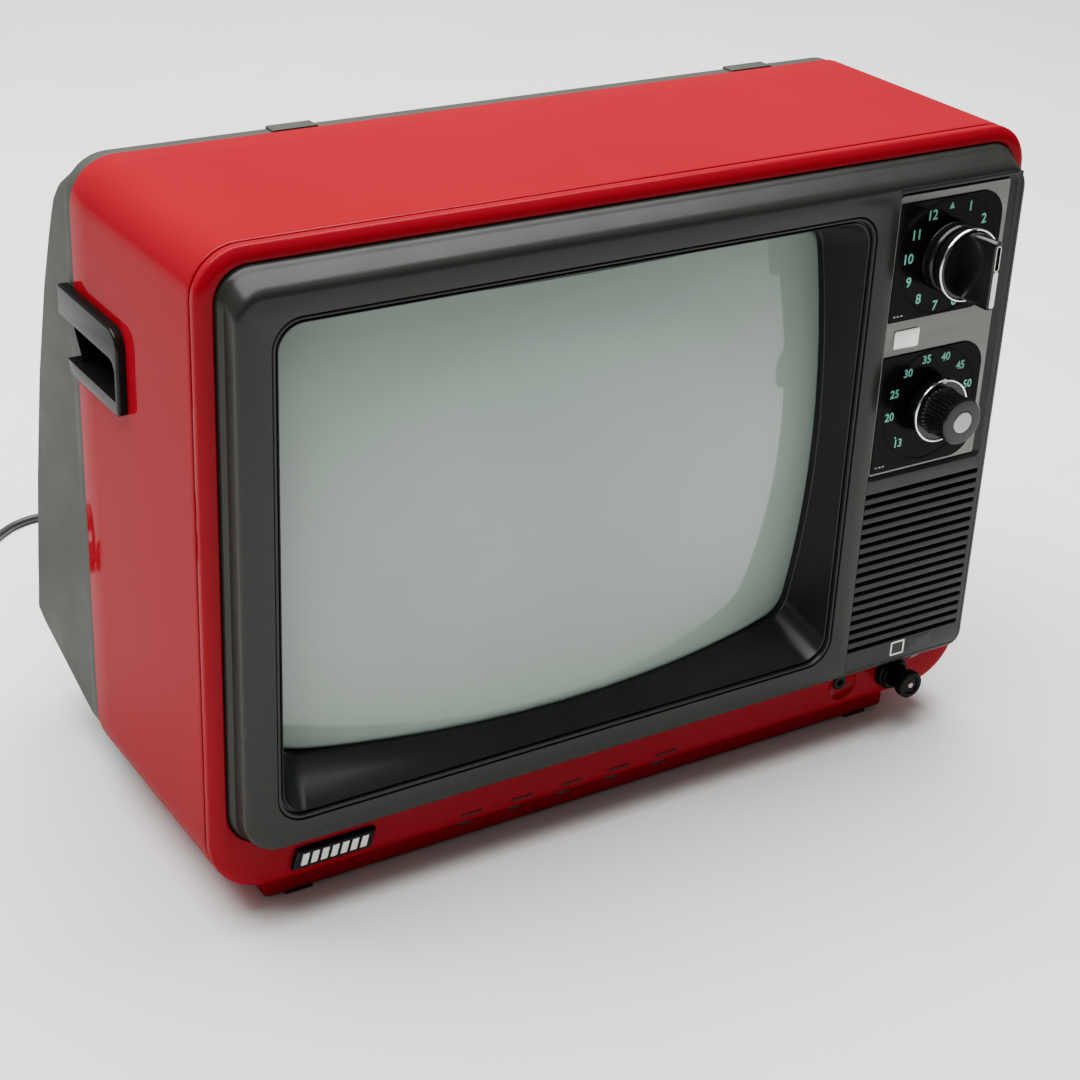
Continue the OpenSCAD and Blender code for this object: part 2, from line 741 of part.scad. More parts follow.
// The cover's side view, pulled in by d: flange, sloping top, leaning back, rising underside.
function cover_profile(d) = [
    [cab_back - CUT * d / wall, cab_bottom + 4 + d], [179, 21.5 + d], [244 - d / 2, 44.5 + d],
    [247.5 - d, 53], [235 - d, 141], [222 - d, 203.5], [208 - d, 252], [196 - d, 284 - d / 2],
    [186 - d / 2, 303 - d], [159, 320 - d], [cab_back - CUT * d / wall, 320 - d]
];

module cover_body(d) {
    intersection() {
        slab(cab_back - CUT, 260) polygon(cabinet_outline(cover_in + d));
        across(-half_w, half_w) polygon(cover_profile(d));
    }
}

function hump_outline(hw, z0, z1, r, d) = rounded(tube_x - hw + d, tube_x + hw - d, z0 + d, z1 - d, r, r);

module hump(d, front) {
    loft([
        [front, hump_outline(92, 95, 262, 20 - d, d)],
        [300, hump_outline(80, 105, 250, 18 - d, d)],
        [hump_back - d, hump_outline(64, 120, 235, 16 - d, d)]
    ]);
}

module rear_cover() {
    placed() color([0.36, 0.36, 0.34]) difference() {
        union() {
            difference() {
                union() {
                    slab(cab_back, cab_back + 10) polygon(cabinet_outline(flange_in));
                    cover_body(0);
                    hump(0, 200);
                }
                slab(cab_back - CUT, cab_back + 6) polygon(cabinet_outline(flange_in + wall));
                cover_body(wall);
                hump(wall, 190);
            }
            intersection() {
                union() {
                    for (s = screw_spots) bar(s[0], s[1], 8, cab_back, 260);
                }
                cover_body(0);
            }
            bar(cord_x, cord_z, 13, 232, bushing_y);
            for (x = [[-120, -97], [140, 165]])
                block([x[0], x[1]], [cab_back + 1, cab_back + 9.5], [cab_top - 4, cab_top]);
        }
        for (s = screw_spots) {
            bar(s[0], s[1], 5.8, screw_seat, 262);
            bar(s[0], s[1], 2.6, cab_back - CUT, screw_seat + CUT);
        }
        bar(cord_x, cord_z, 7.1, 225, bushing_y + CUT);
        both_sides() grip_hole();
        for (x = [-168 : 12 : 168]) block([x - 2, x + 2], [164, 186], [290, 330]);
        for (x = [-194 : 8 : -142]) block([x - 1.6, x + 1.6], [190, 245], [150, 262]);
        for (x = [66 : 8 : 194]) block([x - 1.6, x + 1.6], [190, 245], [212, 262]);
        for (x = [-86 : 12 : 10]) block([x - 2, x + 2], [310, 350], [225, 262]);
        on_leaning_back() block([-32.3, 32.3], [-10, 10], [-22.3, 22.3]);
    }
}

module rear_screws() {
    placed() color("silver") for (s = screw_spots) screw(s[0], s[1], screw_seat, 134, 4.5);
}

// Board with the aerial screws, let into the leaning back.
module on_leaning_back() {
    translate([120, 229.4, 168]) rotate([11.8, 0, 0]) children();
}

module antenna_terminals() {
    placed() on_leaning_back() {
        color([0.1, 0.1, 0.1]) block([-32, 32], [-1, 3.5], [-22, 22]);
        color("silver") for (x = [-20, -7, 7, 20])
            translate([x, 7.5, 8]) rotate([90, 0, 0]) cylinder(r = 3.2, h = 4);
        color("silver") difference() {
            translate([0, 14, -10]) rotate([90, 0, 0]) cylinder(r = 4.8, h = 10.5);
            translate([0, 15, -10]) rotate([90, 0, 0]) cylinder(r = 1.2, h = 8);
        }
    }
}

// ---------- grips and feet ----------

module grip() {
    x0 = half_w - grip_d;
    floor_x = x0 + 2.5;    // bottom of the pocket
    behind_lip = half_w - 6;
    mouth = [
        [mouth_y0, mouth_z0], [mouth_y1 - mouth_lean, mouth_z0], [mouth_y1, mouth_z1], [mouth_y0, mouth_z1]
    ];
    rib_z = 238.2;
    side_x = half_w + 0.5; // the rim is open to the back from here outward
    placed() color([0.16, 0.16, 0.15]) {
        difference() {
            union() {
                across(x0, side_x) polygon(grip_outline(2 + CLEAR));
                across(half_w, half_w + grip_proud) polygon(grip_outline(0));
            }
            across(floor_x, half_w + grip_proud + CUT) polygon(mouth);
            across(floor_x, behind_lip) polygon([
                mouth[0], mouth[1], mouth[2], [mouth_y1, grip_z1 - 5.5], [mouth_y0, grip_z1 - 5.5]
            ]);
            block([side_x, half_w + grip_proud + CUT], [mouth_y1 - mouth_lean, grip_y1 + CUT],
                  [mouth_z0, mouth_z1]);
        }
        block([floor_x - CUT, half_w - 8], [mouth_y0 - CUT, mouth_y1 - 9], [rib_z, rib_z + 3]);
    }
}

module feet() {
    placed() color([0.08, 0.08, 0.08]) {
        for (x = [plinth_x0 + 18, plinth_x1 - 18]) for (y = [plinth_y0 + 2, plinth_y1 - 2])
            block([x - 7, x + 7], [y - 1.9, y + 1.9], [0, plinth_z]);
    }
}

// ---------- mains lead ----------

module cord_bushing() {
    placed() color([0.05, 0.05, 0.05]) turned(cord_x, cord_z, [
        [0, 238], [7, 238], [7, bushing_y], [10, bushing_y], [10, bushing_y + 3],
        [6.5, bushing_y + 4], [3.6, boot_end], [0, boot_end]
    ]);
}

module power_cord() {
    placed() color([0.06, 0.06, 0.06]) {
        tube_along(CORD_ROUTE, cord_d / 2, [0, 0, 1]);
        tube_along(TAIL_ROUTE, cord_d / 2, [0, 0, 1]);
    }
}

module cord_coil() {
    placed() color([0.06, 0.06, 0.06]) translate([coil_x, coil_y, 0])
        rotate_extrude($fn = 64) translate([coil_in, 0]) square([coil_out - coil_in, coil_rows * cord_d]);
}

module cord_tie() {
    h = coil_rows * cord_d;
    placed() color([0.9, 0.9, 0.88]) difference() {
        block([coil_x - 4, coil_x + 4], [coil_y + coil_in - 1.7, coil_y + coil_out + 1.2], [0, h + 1.2]);
        block([coil_x - 5, coil_x + 5], [coil_y + coil_in - 0.5, coil_y + coil_out + 0.1], [-CUT, h + 0.1]);
    }
}

module plug_body() {
    placed() color([0.06, 0.06, 0.06])
        block([plug_x - 28, plug_x], [plug_y - 9, plug_y + 9], [0, 2 * plug_z]);
}

module plug_blades() {
    placed() color("silver") for (s = [-1, 1])
        block([plug_x - 46, plug_x - 28], [plug_y + s * 6.35 - 0.75, plug_y + s * 6.35 + 0.75],
              [plug_z - 3.1, plug_z + 3.1]);
}

// ---------- knobs ----------

module vhf_shaft() {
    placed() color("silver") bar(dial_x, vhf_z, shaft_r, -14.5, 30);
}

module vhf_fine_ring() {
    placed() color([0.05, 0.05, 0.05]) difference() {
        union() {
            turned(dial_x, vhf_z, [[0, -8.2], [16.6, -8.2], [17.5, -7.4], [17.5, -0.9], [0, -0.9]]);
            bar(dial_x, vhf_z, 4.5, -2, 27);
        }
        bar(dial_x, vhf_z, shaft_r + RUN, -9, 28);
    }
}

module vhf_knob() {
    placed() color([0.04, 0.04, 0.04]) difference() {
        union() {
            turned(dial_x, vhf_z, [[0, -15], [16.6, -15], [16.6, -9], [0, -9]]);
            translate([dial_x, 0, vhf_z - 17.2]) linear_extrude(34.4)
                polygon([[-4, -15], [-2.4, -33], [2.4, -33], [4, -15]]);
        }
        bar(dial_x, vhf_z, shaft_r, -14.5, -8);
    }
}

module vhf_knob_ring() {
    placed() color("silver") turned(dial_x, vhf_z, [
        [16.6, -15], [17.9, -15], [18.3, -14.2], [18.3, -12.4], [16.6, -12.4]
    ]);
}

module uhf_shaft() {
    placed() color("silver") bar(dial_x, uhf_z, shaft_r, -18, 32);
}

module uhf_knob() {
    placed() color([0.04, 0.04, 0.04]) difference() {
        turned(dial_x, uhf_z, [
            [0, -24.6], [11.4, -24.6], [12, -24], [12.4, -9.4], [14.8, -9.4], [14.8, -1.2], [0, -1.2]
        ]);
        bar(dial_x, uhf_z, shaft_r, -18, 0);
        for (a = [0 : 15 : 345]) translate([dial_x, -17, uhf_z]) rotate([0, a, 0])
            translate([12.6, 0, 0]) rotate([90, 0, 0]) cylinder(r = 0.7, h = 15, center = true, $fn = 16);
    }
}

module uhf_knob_ring() {
    placed() color("silver") turned(dial_x, uhf_z, [
        [14.8, -9.4], [16.2, -9.4], [16.6, -8.6], [16.6, -6.6], [14.8, -6.6]
    ]);
}

module uhf_knob_cap() {
    placed() color("gainsboro") turned(dial_x, uhf_z, [
        [0, -25.4], [5.4, -25.4], [5.7, -25], [5.7, -24.6], [0, -24.6]
    ]);
}

module volume_plunger() {
    placed() color("silver") difference() {
        bar(volume_x, volume_z, 4.5, 9, 41);
        bar(volume_x, volume_z, shaft_r + RUN, 8, 42);
    }
}

module volume_knob() {
    placed() color([0.04, 0.04, 0.04]) {
        turned(volume_x, volume_z, [
            [0, -5], [6.6, -5], [7.5, -4], [7.5, 0], [6.4, 1], [5.4, 3], [5.4, 8], [shaft_r, 8],
            [shaft_r, 42], [0, 42]
        ]);
    }
}

module preset_wheel(i) {
    placed() color([0.05, 0.05, 0.05]) translate([wheel_x + i * wheel_pitch, wheel_y, 0]) {
        difference() {
            translate([0, 0, wheel_z]) cylinder(r = wheel_r, h = wheel_t);
            for (a = [0 : 20 : 340]) rotate([0, 0, a]) translate([wheel_r + 0.3, 0, wheel_z - CUT])
                cylinder(r = 0.7, h = wheel_t + 2 * CUT, $fn = 16);
        }
        translate([0, 0, wheel_z]) cylinder(r = wheel_shaft_r, h = 14);
    }
}

front_cabinet();
bezel();
screen_mask();
control_panel();
dial_surround();
dial_plate(vhf_z - dial_up, vhf_z + dial_up);  // vhf_dial_plate
dial_plate(uhf_plate_z0, uhf_z + dial_up);  // uhf_dial_plate
badge_plates();
mirror([1, 0, 0]) grip();  // left_grip
grip();  // right_grip
tube_faceplate();
tube_funnel();
shadow_mask();
electron_gun();
tube_rimband();
tube_screws();
yoke_core();
yoke_coils();
neck_magnets();
tube_socket_board();
anode_lead();
degauss_coil();
vhf_tuner();
uhf_tuner();
speaker_frame();
speaker_cone();
volume_collar();
volume_pot();
earphone_jack();
preset_board();
main_board();
flyback_transformer();
filter_capacitors();
heat_sink();
rear_cover();
rear_screws();
antenna_terminals();
feet();
cord_bushing();
power_cord();
cord_coil();
cord_tie();
plug_body();
plug_blades();
vhf_shaft();
vhf_knob();
vhf_knob_ring();
vhf_fine_ring();
uhf_shaft();
uhf_knob();
uhf_knob_ring();
uhf_knob_cap();
volume_plunger();
volume_knob();
preset_wheel(0);  // preset_wheel_1
preset_wheel(1);  // preset_wheel_2
preset_wheel(2);  // preset_wheel_3
preset_wheel(3);  // preset_wheel_4
preset_wheel(4);  // preset_wheel_5
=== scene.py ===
"""Portable colour television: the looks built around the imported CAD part.

Lengths in the shape code are millimetres: x to the viewer's right, y back from the
flat front of the bezel, z up from the floor. at() turns them into the part's frame.
"""

import json
import math

import bmesh
import bpy
from mathutils import Matrix, Vector


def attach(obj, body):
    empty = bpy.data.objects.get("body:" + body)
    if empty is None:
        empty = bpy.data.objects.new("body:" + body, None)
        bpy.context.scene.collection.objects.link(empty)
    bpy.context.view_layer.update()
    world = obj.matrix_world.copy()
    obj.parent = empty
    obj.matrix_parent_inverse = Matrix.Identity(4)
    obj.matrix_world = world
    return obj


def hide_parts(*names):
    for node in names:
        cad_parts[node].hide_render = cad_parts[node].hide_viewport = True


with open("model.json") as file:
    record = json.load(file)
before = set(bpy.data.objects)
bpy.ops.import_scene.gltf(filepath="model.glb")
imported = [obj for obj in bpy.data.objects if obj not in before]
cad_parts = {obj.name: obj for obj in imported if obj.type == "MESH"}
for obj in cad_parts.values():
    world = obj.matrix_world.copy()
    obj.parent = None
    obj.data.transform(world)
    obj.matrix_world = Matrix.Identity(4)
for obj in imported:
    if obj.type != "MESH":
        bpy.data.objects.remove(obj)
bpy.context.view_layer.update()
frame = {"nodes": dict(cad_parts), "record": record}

FRONT = 164.0  # the bezel face lies this far in front of the frame's middle
MM = 0.001


def at(x, y, z):
    """A point of the shape code as a point of the part's frame."""
    return Vector((x * MM, (y - FRONT) * MM, z * MM))


def show(obj):
    """Puts an object into the scene."""
    bpy.context.scene.collection.objects.link(obj)
    return obj


# ---------------------------------------------------------------- camera

EYE = Vector((-0.5499, -0.9108, 0.6244))
RIGHT = Vector((0.8480, -0.5283, 0.0417))
UP = Vector((0.2088, 0.4053, 0.8899))


def make_camera():
    """The viewpoint: to the left of the set and above it."""
    data = bpy.data.cameras.new("camera")
    data.lens = 74.1
    data.sensor_width = 36
    data.clip_start = 0.05
    data.clip_end = 50
    cam = show(bpy.data.objects.new("camera", data))
    back = RIGHT.cross(UP).normalized()
    up = back.cross(RIGHT).normalized()
    turn = Matrix((RIGHT.normalized(), up, back)).transposed()
    cam.matrix_world = Matrix.Translation(EYE) @ turn.to_4x4()
    bpy.context.scene.camera = cam


make_camera()

# ---------------------------------------------------------------- finishes


def new_material(name):
    """A material with an empty node tree but for its shader; gives the tree and shader."""
    mat = bpy.data.materials.new(name)
    mat.use_nodes = True
    tree = mat.node_tree
    shader = next(n for n in tree.nodes if n.type == "BSDF_PRINCIPLED")
    return mat, tree, shader


def noise(tree, scale, detail=3.0, stretch=None):
    """Value of a noise in the piece's own coordinates."""
    coords = tree.nodes.new("ShaderNodeTexCoord")
    node = tree.nodes.new("ShaderNodeTexNoise")
    node.inputs["Scale"].default_value = scale
    node.inputs["Detail"].default_value = detail
    if stretch:
        mapping = tree.nodes.new("ShaderNodeMapping")
        mapping.inputs["Scale"].default_value = stretch
        tree.links.new(coords.outputs["Object"], mapping.inputs["Vector"])
        tree.links.new(mapping.outputs["Vector"], node.inputs["Vector"])
    else:
        tree.links.new(coords.outputs["Object"], node.inputs["Vector"])
    return node.outputs["Fac"]


def spread(tree, value, low, high):
    """value, a noise about a half, taken to the range from low to high."""
    node = tree.nodes.new("ShaderNodeMapRange")
    node.inputs["From Min"].default_value = 0.3
    node.inputs["From Max"].default_value = 0.7
    node.inputs["To Min"].default_value = low
    node.inputs["To Max"].default_value = high
    tree.links.new(value, node.inputs["Value"])
    return node.outputs["Result"]


def blend_colours(tree, value, first, second):
    """first where value is 0 and second where it is 1."""
    node = tree.nodes.new("ShaderNodeMix")
    node.data_type = "RGBA"
    for socket, colour in ((node.inputs[6], first), (node.inputs[7], second)):
        if isinstance(colour, tuple):
            socket.default_value = (*colour, 1)
        else:
            tree.links.new(colour, socket)
    tree.links.new(value, node.inputs[0])
    return node.outputs[2]


def finish_of(
    name,
    colour,
    rough,
    metal=0.0,
    vary=0.08,
    patch=18.0,
    grain=0.0,
    grain_size=900.0,
    smear=0.15,
    stretch=None,
    gloss=None,
):
    """A procedural finish whose colour and roughness drift, with a fine relief if grain is set.

    vary is how far the colour drifts, smear how far the roughness does, both as shares.
    gloss is how much of a clear plastic's mirroring shows; without it the shader's own is kept."""
    mat, tree, shader = new_material(name)
    drift = noise(tree, patch, stretch=stretch)
    dark = tuple(c * (1 - vary) for c in colour)
    light = tuple(min(c * (1 + vary), 1) for c in colour)
    tree.links.new(
        blend_colours(tree, spread(tree, drift, 0, 1), dark, light),
        shader.inputs["Base Color"],
    )
    wear = noise(tree, patch * 4.3, 5.0, stretch)
    roughness = spread(tree, wear, rough * (1 - smear), rough * (1 + smear))
    tree.links.new(roughness, shader.inputs["Roughness"])
    shader.inputs["Metallic"].default_value = metal
    if gloss is not None:
        shader.inputs["Specular IOR Level"].default_value = 0
        shader.inputs["Coat Weight"].default_value = gloss
        tree.links.new(roughness, shader.inputs["Coat Roughness"])
    if grain:
        bump = tree.nodes.new("ShaderNodeBump")
        bump.inputs["Strength"].default_value = grain
        bump.inputs["Distance"].default_value = 0.0002
        tree.links.new(noise(tree, grain_size, 2.0, stretch), bump.inputs["Height"])
        tree.links.new(bump.outputs["Normal"], shader.inputs["Normal"])
    return mat


def reckon(tree, operation, first, second=0.0):
    """Result of a sum on sockets or plain numbers."""
    node = tree.nodes.new("ShaderNodeMath")
    node.operation = operation
    for socket, value in zip(node.inputs, (first, second)):
        if isinstance(value, (int, float)):
            socket.default_value = value
        else:
            tree.links.new(value, socket)
    return node.outputs[0]


def screen_finish():
    """Grey-green phosphor behind clear glass, black where the coating ends near the edge.

    The coating's sides bow: they lie further out in the middle than at the corners."""
    mat, tree, shader = new_material("screen_glass")
    coords = tree.nodes.new("ShaderNodeTexCoord")
    parts = tree.nodes.new("ShaderNodeSeparateXYZ")
    tree.links.new(coords.outputs["Object"], parts.inputs["Vector"])
    half_x, half_z, middle_z = 148.3 * MM, 109.4 * MM, 180.2 * MM

    def reach(way, other, bow):
        """How far out a point lies along way, with a side that bows with other."""
        curved = reckon(tree, "MULTIPLY", reckon(tree, "MULTIPLY", other, other), bow)
        return reckon(tree, "ADD", reckon(tree, "ABSOLUTE", way), curved)

    level = reckon(tree, "DIVIDE", reckon(tree, "SUBTRACT", parts.outputs["X"], TUBE_X * MM), half_x)
    up = reckon(tree, "DIVIDE", reckon(tree, "SUBTRACT", parts.outputs["Z"], middle_z), half_z)
    sharp = 24
    reach_x = reckon(tree, "POWER", reach(level, up, 0.02), sharp)
    reach_z = reckon(tree, "POWER", reach(up, level, 0.055), sharp)
    total = reckon(tree, "ADD", reach_x, reach_z)
    edge = tree.nodes.new("ShaderNodeMapRange")
    edge.inputs["From Min"].default_value = 0.8
    edge.inputs["From Max"].default_value = 1.2
    tree.links.new(total, edge.inputs["Value"])
    drift = spread(tree, noise(tree, 14.0), 0, 1)
    coating = blend_colours(tree, drift, (0.27, 0.345, 0.303), (0.295, 0.37, 0.327))
    tree.links.new(
        blend_colours(tree, edge.outputs["Result"], coating, (0.006, 0.008, 0.008)),
        shader.inputs["Base Color"],
    )
    tree.links.new(spread(tree, noise(tree, 60.0, 4.0), 0.3, 0.42), shader.inputs["Roughness"])
    shader.inputs["Specular IOR Level"].default_value = 0.2
    shader.inputs["Coat Weight"].default_value = 1.0
    shader.inputs["Coat Roughness"].default_value = 0.04
    shader.inputs["Coat IOR"].default_value = 1.5
    return mat


def spun_finish(centre_x, centre_z):
    """Turned aluminium: fine rings about an axis along y."""
    mat, tree, shader = new_material("spun_aluminium")
    coords = tree.nodes.new("ShaderNodeTexCoord")
    shift = tree.nodes.new("ShaderNodeMapping")
    shift.inputs["Location"].default_value = (-centre_x * MM, 0, -centre_z * MM)
    tree.links.new(coords.outputs["Object"], shift.inputs["Vector"])
    wave = tree.nodes.new("ShaderNodeTexWave")
    wave.wave_type = "RINGS"
    wave.rings_direction = "Y"
    wave.inputs["Scale"].default_value = 900
    wave.inputs["Distortion"].default_value = 0.4
    tree.links.new(shift.outputs["Vector"], wave.inputs["Vector"])
    shader.inputs["Metallic"].default_value = 1
    tree.links.new(
        blend_colours(tree, wave.outputs["Fac"], (0.16, 0.16, 0.16), (0.42, 0.42, 0.41)),
        shader.inputs["Base Color"],
    )
    tree.links.new(spread(tree, wave.outputs["Fac"], 0.28, 0.4), shader.inputs["Roughness"])
    shader.inputs["Anisotropic"].default_value = 0.6
    return mat


# ---------------------------------------------------------------- shape tools


def piece(name, points, faces, mat, body="chassis", nodes=(), slot=None, crease=32):
    """Makes one closed piece of the object that rides on body and stands for the CAD nodes.

    With neither nodes nor slot it is a raw shape, for combine() or joined()."""
    mesh = bpy.data.meshes.new(name)
    mesh.from_pydata([at(*p) for p in points], [], faces)
    obj = show(bpy.data.objects.new(name, mesh))
    tidy(obj, crease)
    obj.data.materials.append(mat)
    if nodes or slot:
        settle(obj, body, nodes)
    return obj


def settle(obj, body, nodes=()):
    """Hangs a finished piece on what it rides on and hides the CAD nodes it stands for."""
    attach(obj, body)
    if nodes:
        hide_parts(*nodes)
    return obj


def tidy(obj, crease=32):
    """Welds the mesh, turns its faces outward, and smooths all but the sharp edges."""
    bm = bmesh.new()
    bm.from_mesh(obj.data)
    bmesh.ops.remove_doubles(bm, verts=bm.verts, dist=2e-6)
    bmesh.ops.dissolve_degenerate(bm, edges=bm.edges, dist=2e-6)
    bmesh.ops.recalc_face_normals(bm, faces=bm.faces)
    limit = math.radians(crease)
    for f in bm.faces:
        f.smooth = True
    for e in bm.edges:
        if len(e.link_faces) == 2:
            e.smooth = e.calc_face_angle(0) < limit
    bm.to_mesh(obj.data)
    bm.free()


def combine(obj, other, how, crease=32):
    """obj joined with other, or cut by it; other is used up."""
    step = obj.modifiers.new("combine", "BOOLEAN")
    step.object = other
    step.operation = how
    step.solver = "EXACT"
    graph = bpy.context.evaluated_depsgraph_get()
    mesh = bpy.data.meshes.new_from_object(obj.evaluated_get(graph))
    obj.modifiers.clear()
    obj.data = mesh
    bpy.data.objects.remove(other)
    tidy(obj, crease)
    return obj


def rounded_edges(obj, width, segments=2, limit=40):
    """Rounds the sharp edges of a piece by width."""
    step = obj.modifiers.new("edges", "BEVEL")
    step.width = width * MM
    step.segments = segments
    step.limit_method = "ANGLE"
    step.angle_limit = math.radians(limit)
    step.use_clamp_overlap = True
    step.harden_normals = False
    graph = bpy.context.evaluated_depsgraph_get()
    mesh = bpy.data.meshes.new_from_object(obj.evaluated_get(graph))
    obj.modifiers.clear()
    obj.data = mesh
    tidy(obj)
    return obj


def quarter(cx, cz, r, start, steps):
    """Points of a quarter circle, anticlockwise from start in degrees."""
    out = []
    for i in range(steps + 1):
        a = math.radians(start + 90 * i / steps)
        out.append((cx + r * math.cos(a), cz + r * math.sin(a)))
    return out


def side(first, last, steps, swell, push):
    """Points strictly between two corners, swelling by swell in the direction push."""
    out = []
    for i in range(1, steps):
        t = i / steps
        bow = swell * (1 - (2 * t - 1) ** 2)
        out.append(
            (
                first[0] + (last[0] - first[0]) * t + push[0] * bow,
                first[1] + (last[1] - first[1]) * t + push[1] * bow,
            )
        )
    return out


def outline(x0, x1, z0, z1, rt, rb=None, steps=9, swell=0.0, spans=12, right=None):
    """Upright rectangle with rounded corners; rt and rb are the upper and lower radii.

    Its sides swell outward by swell in the middle. right is the lower right radius, if it differs."""
    rb = rt if rb is None else rb
    right = rb if right is None else right
    corners = [
        quarter(x1 - right, z0 + right, right, -90, steps),
        quarter(x1 - rt, z1 - rt, rt, 0, steps),
        quarter(x0 + rt, z1 - rt, rt, 90, steps),
        quarter(x0 + rb, z0 + rb, rb, 180, steps),
    ]
    pushes = [(1, 0), (0, 1), (-1, 0), (0, -1)]
    out = []
    for k in range(4):
        out += corners[k]
        out += side(corners[k][-1], corners[(k + 1) % 4][0], spans, swell, pushes[k])
    return out


def ring_faces(rows, count, closed):
    """Quads between rows of count points; closed also joins the last row to the first."""
    faces = []
    for k in range(rows if closed else rows - 1):
        a, b = k * count, (k + 1) % rows * count
        for i in range(count):
            j = (i + 1) % count
            faces.append((a + i, a + j, b + j, b + i))
    return faces


def skin(rows, count, closed):
    """Faces of rows of count points: a ring if closed, or else capped at both ends."""
    faces = ring_faces(rows, count, closed)
    if not closed:
        faces.append(tuple(range(count - 1, -1, -1)))
        faces.append(tuple(range((rows - 1) * count, rows * count)))
    return faces


def loft(name, sections, mat, closed=False, **more):
    """A piece through outlines given as (y, outline); closed makes a frame with a hole.

    y is a number, or a function of x and z."""
    count = len(sections[0][1])
    points = [(x, y(x, z) if callable(y) else y, z) for y, pts in sections for x, z in pts]
    return piece(name, points, skin(len(sections), count, closed), mat, **more)


def prism(name, pts, y0, y1, mat, **more):
    """An upright outline made solid from y0 to y1."""
    return loft(name, [(y0, pts), (y1, pts)], mat, **more)


def turned(name, x, z, profile, mat, around=64, dent=None, **more):
    """A turned piece about an axis along y; profile holds (radius, y), ends on the axis.

    dent(angle, radius, y) changes the radius, for ribs."""
    inner = [p for p in profile if p[0] > 1e-6]
    points, faces = [], []
    for r, y in inner:
        for k in range(around):
            a = 2 * math.pi * k / around
            rr = dent(a, r, y) if dent else r
            points.append((x + rr * math.cos(a), y, z + rr * math.sin(a)))
    faces = ring_faces(len(inner), around, profile[0][0] > 1e-6)
    if profile[0][0] <= 1e-6:
        points.append((x, profile[0][1], z))
        tip = len(points) - 1
        faces += [(tip, (k + 1) % around, k) for k in range(around)]
        points.append((x, profile[-1][1], z))
        tip = len(points) - 1
        base = (len(inner) - 1) * around
        faces += [(tip, base + k, base + (k + 1) % around) for k in range(around)]
    return piece(name, points, faces, mat, **more)


def disc(r, y0, y1):
    """Profile of a plain cylinder for turned()."""
    return [(0, y0), (r, y0), (r, y1), (0, y1)]


def drill(obj, x, z, profile, mat, around=64):
    """Takes a turned shape out of obj."""
    return combine(obj, turned("hole", x, z, profile, mat, around=around), "DIFFERENCE")


def plate_outline(x0, x1, z0, z1, r):
    """Outline of a small flat plate."""
    return outline(x0, x1, z0, z1, r, spans=1, steps=4)


def box(name, x, y, z, mat, **more):
    """A block from its low and high sides."""
    pts = [(x[0], z[0]), (x[1], z[0]), (x[1], z[1]), (x[0], z[1])]
    return prism(name, pts, y[0], y[1], mat, **more)


def merge(parts):
    """Several raw shapes as one."""
    bpy.ops.object.select_all(action="DESELECT")
    for p in parts:
        p.select_set(True)
    bpy.context.view_layer.objects.active = parts[0]
    bpy.ops.object.join()
    return parts[0]


def joined(name, parts, body, nodes=()):
    """Several finished meshes as one piece."""
    obj = merge(parts)
    obj.name = name
    obj.data.name = name
    return settle(obj, body, nodes)


# ---------------------------------------------------------------- sizes

HALF = 220.0
TOP = 325.0
BOTTOM = 16.0
TUBE_X, TUBE_Z = -38.0, 179.0
FACE_R, NOSE = 550.0, 2.0  # radius of the tube's face, and how far it lies behind the bezel's front
DIAL_X, VHF_Z, UHF_Z = 163.5, 270.2, 192.6
VOLUME_X, VOLUME_Z, JACK_X = 173.0, 30.3, 141.3
WHEELS = [-85 + 28.5 * i for i in range(5)]
LEAD_X, LEAD_Z = -100.0, 70.0

# ---------------------------------------------------------------- finishes by use

RED = finish_of("red_plastic", (0.25, 0.003, 0.011), 0.06, vary=0.05, patch=7, smear=0.3, gloss=0.13)
DEEP_RED = finish_of("red_marks", (0.07, 0.0005, 0.003), 0.4, vary=0.05, gloss=0.4)
GREY = finish_of(
    "dark_plastic", (0.017, 0.0175, 0.0155), 0.27,
    vary=0.1, patch=9, grain=0.2, grain_size=2600, gloss=0.42,
)
PANEL = finish_of(
    "panel_plastic", (0.021, 0.022, 0.021), 0.36,
    vary=0.08, patch=12, grain=0.2, grain_size=2400, gloss=0.5,
)
COVER = finish_of(
    "grey_plastic", (0.054, 0.055, 0.050), 0.45,
    vary=0.07, patch=10, grain=0.35, grain_size=1300, gloss=0.25,
)
BLACK = finish_of(
    "black_plastic", (0.0015, 0.0016, 0.0018), 0.22, vary=0.2, patch=12, smear=0.35, gloss=0.3
)
MASK = finish_of(
    "mask_plastic", (0.010, 0.0105, 0.0115), 0.34, vary=0.12, patch=10, smear=0.2, gloss=0.55
)
GRIP = finish_of("grip_plastic", (0.007, 0.0072, 0.0068), 0.16, vary=0.1, patch=14, smear=0.3, gloss=0.3)
DIAL = finish_of("dial_black", (0.0025, 0.0025, 0.0025), 0.16, vary=0.2, patch=30, gloss=0.12)
KNOB = finish_of("knob_black", (0.005, 0.005, 0.005), 0.2, vary=0.2, patch=60, gloss=0.7)
VOLUME = finish_of("volume_black", (0.003, 0.003, 0.003), 0.22, vary=0.2, patch=60, gloss=0.2)
METAL = finish_of(
    "surround_metal", (0.13, 0.129, 0.125), 0.36, metal=0.9, vary=0.16, patch=30,
    grain=0.25, grain_size=700, stretch=(0.05, 1, 1),
)
CHROME = finish_of("chrome", (0.86, 0.86, 0.85), 0.09, metal=1.0, vary=0.04, patch=90, smear=0.4)
SILVER = finish_of(
    "bright_metal", (0.62, 0.61, 0.59), 0.28, metal=0.9, vary=0.06, patch=80, stretch=(1, 1, 0.1)
)
GREEN = finish_of("dial_numbers", (0.13, 0.50, 0.38), 0.5, vary=0.1, patch=200)
PALE = finish_of("pale_marks", (0.30, 0.30, 0.29), 0.5, vary=0.1, patch=200)
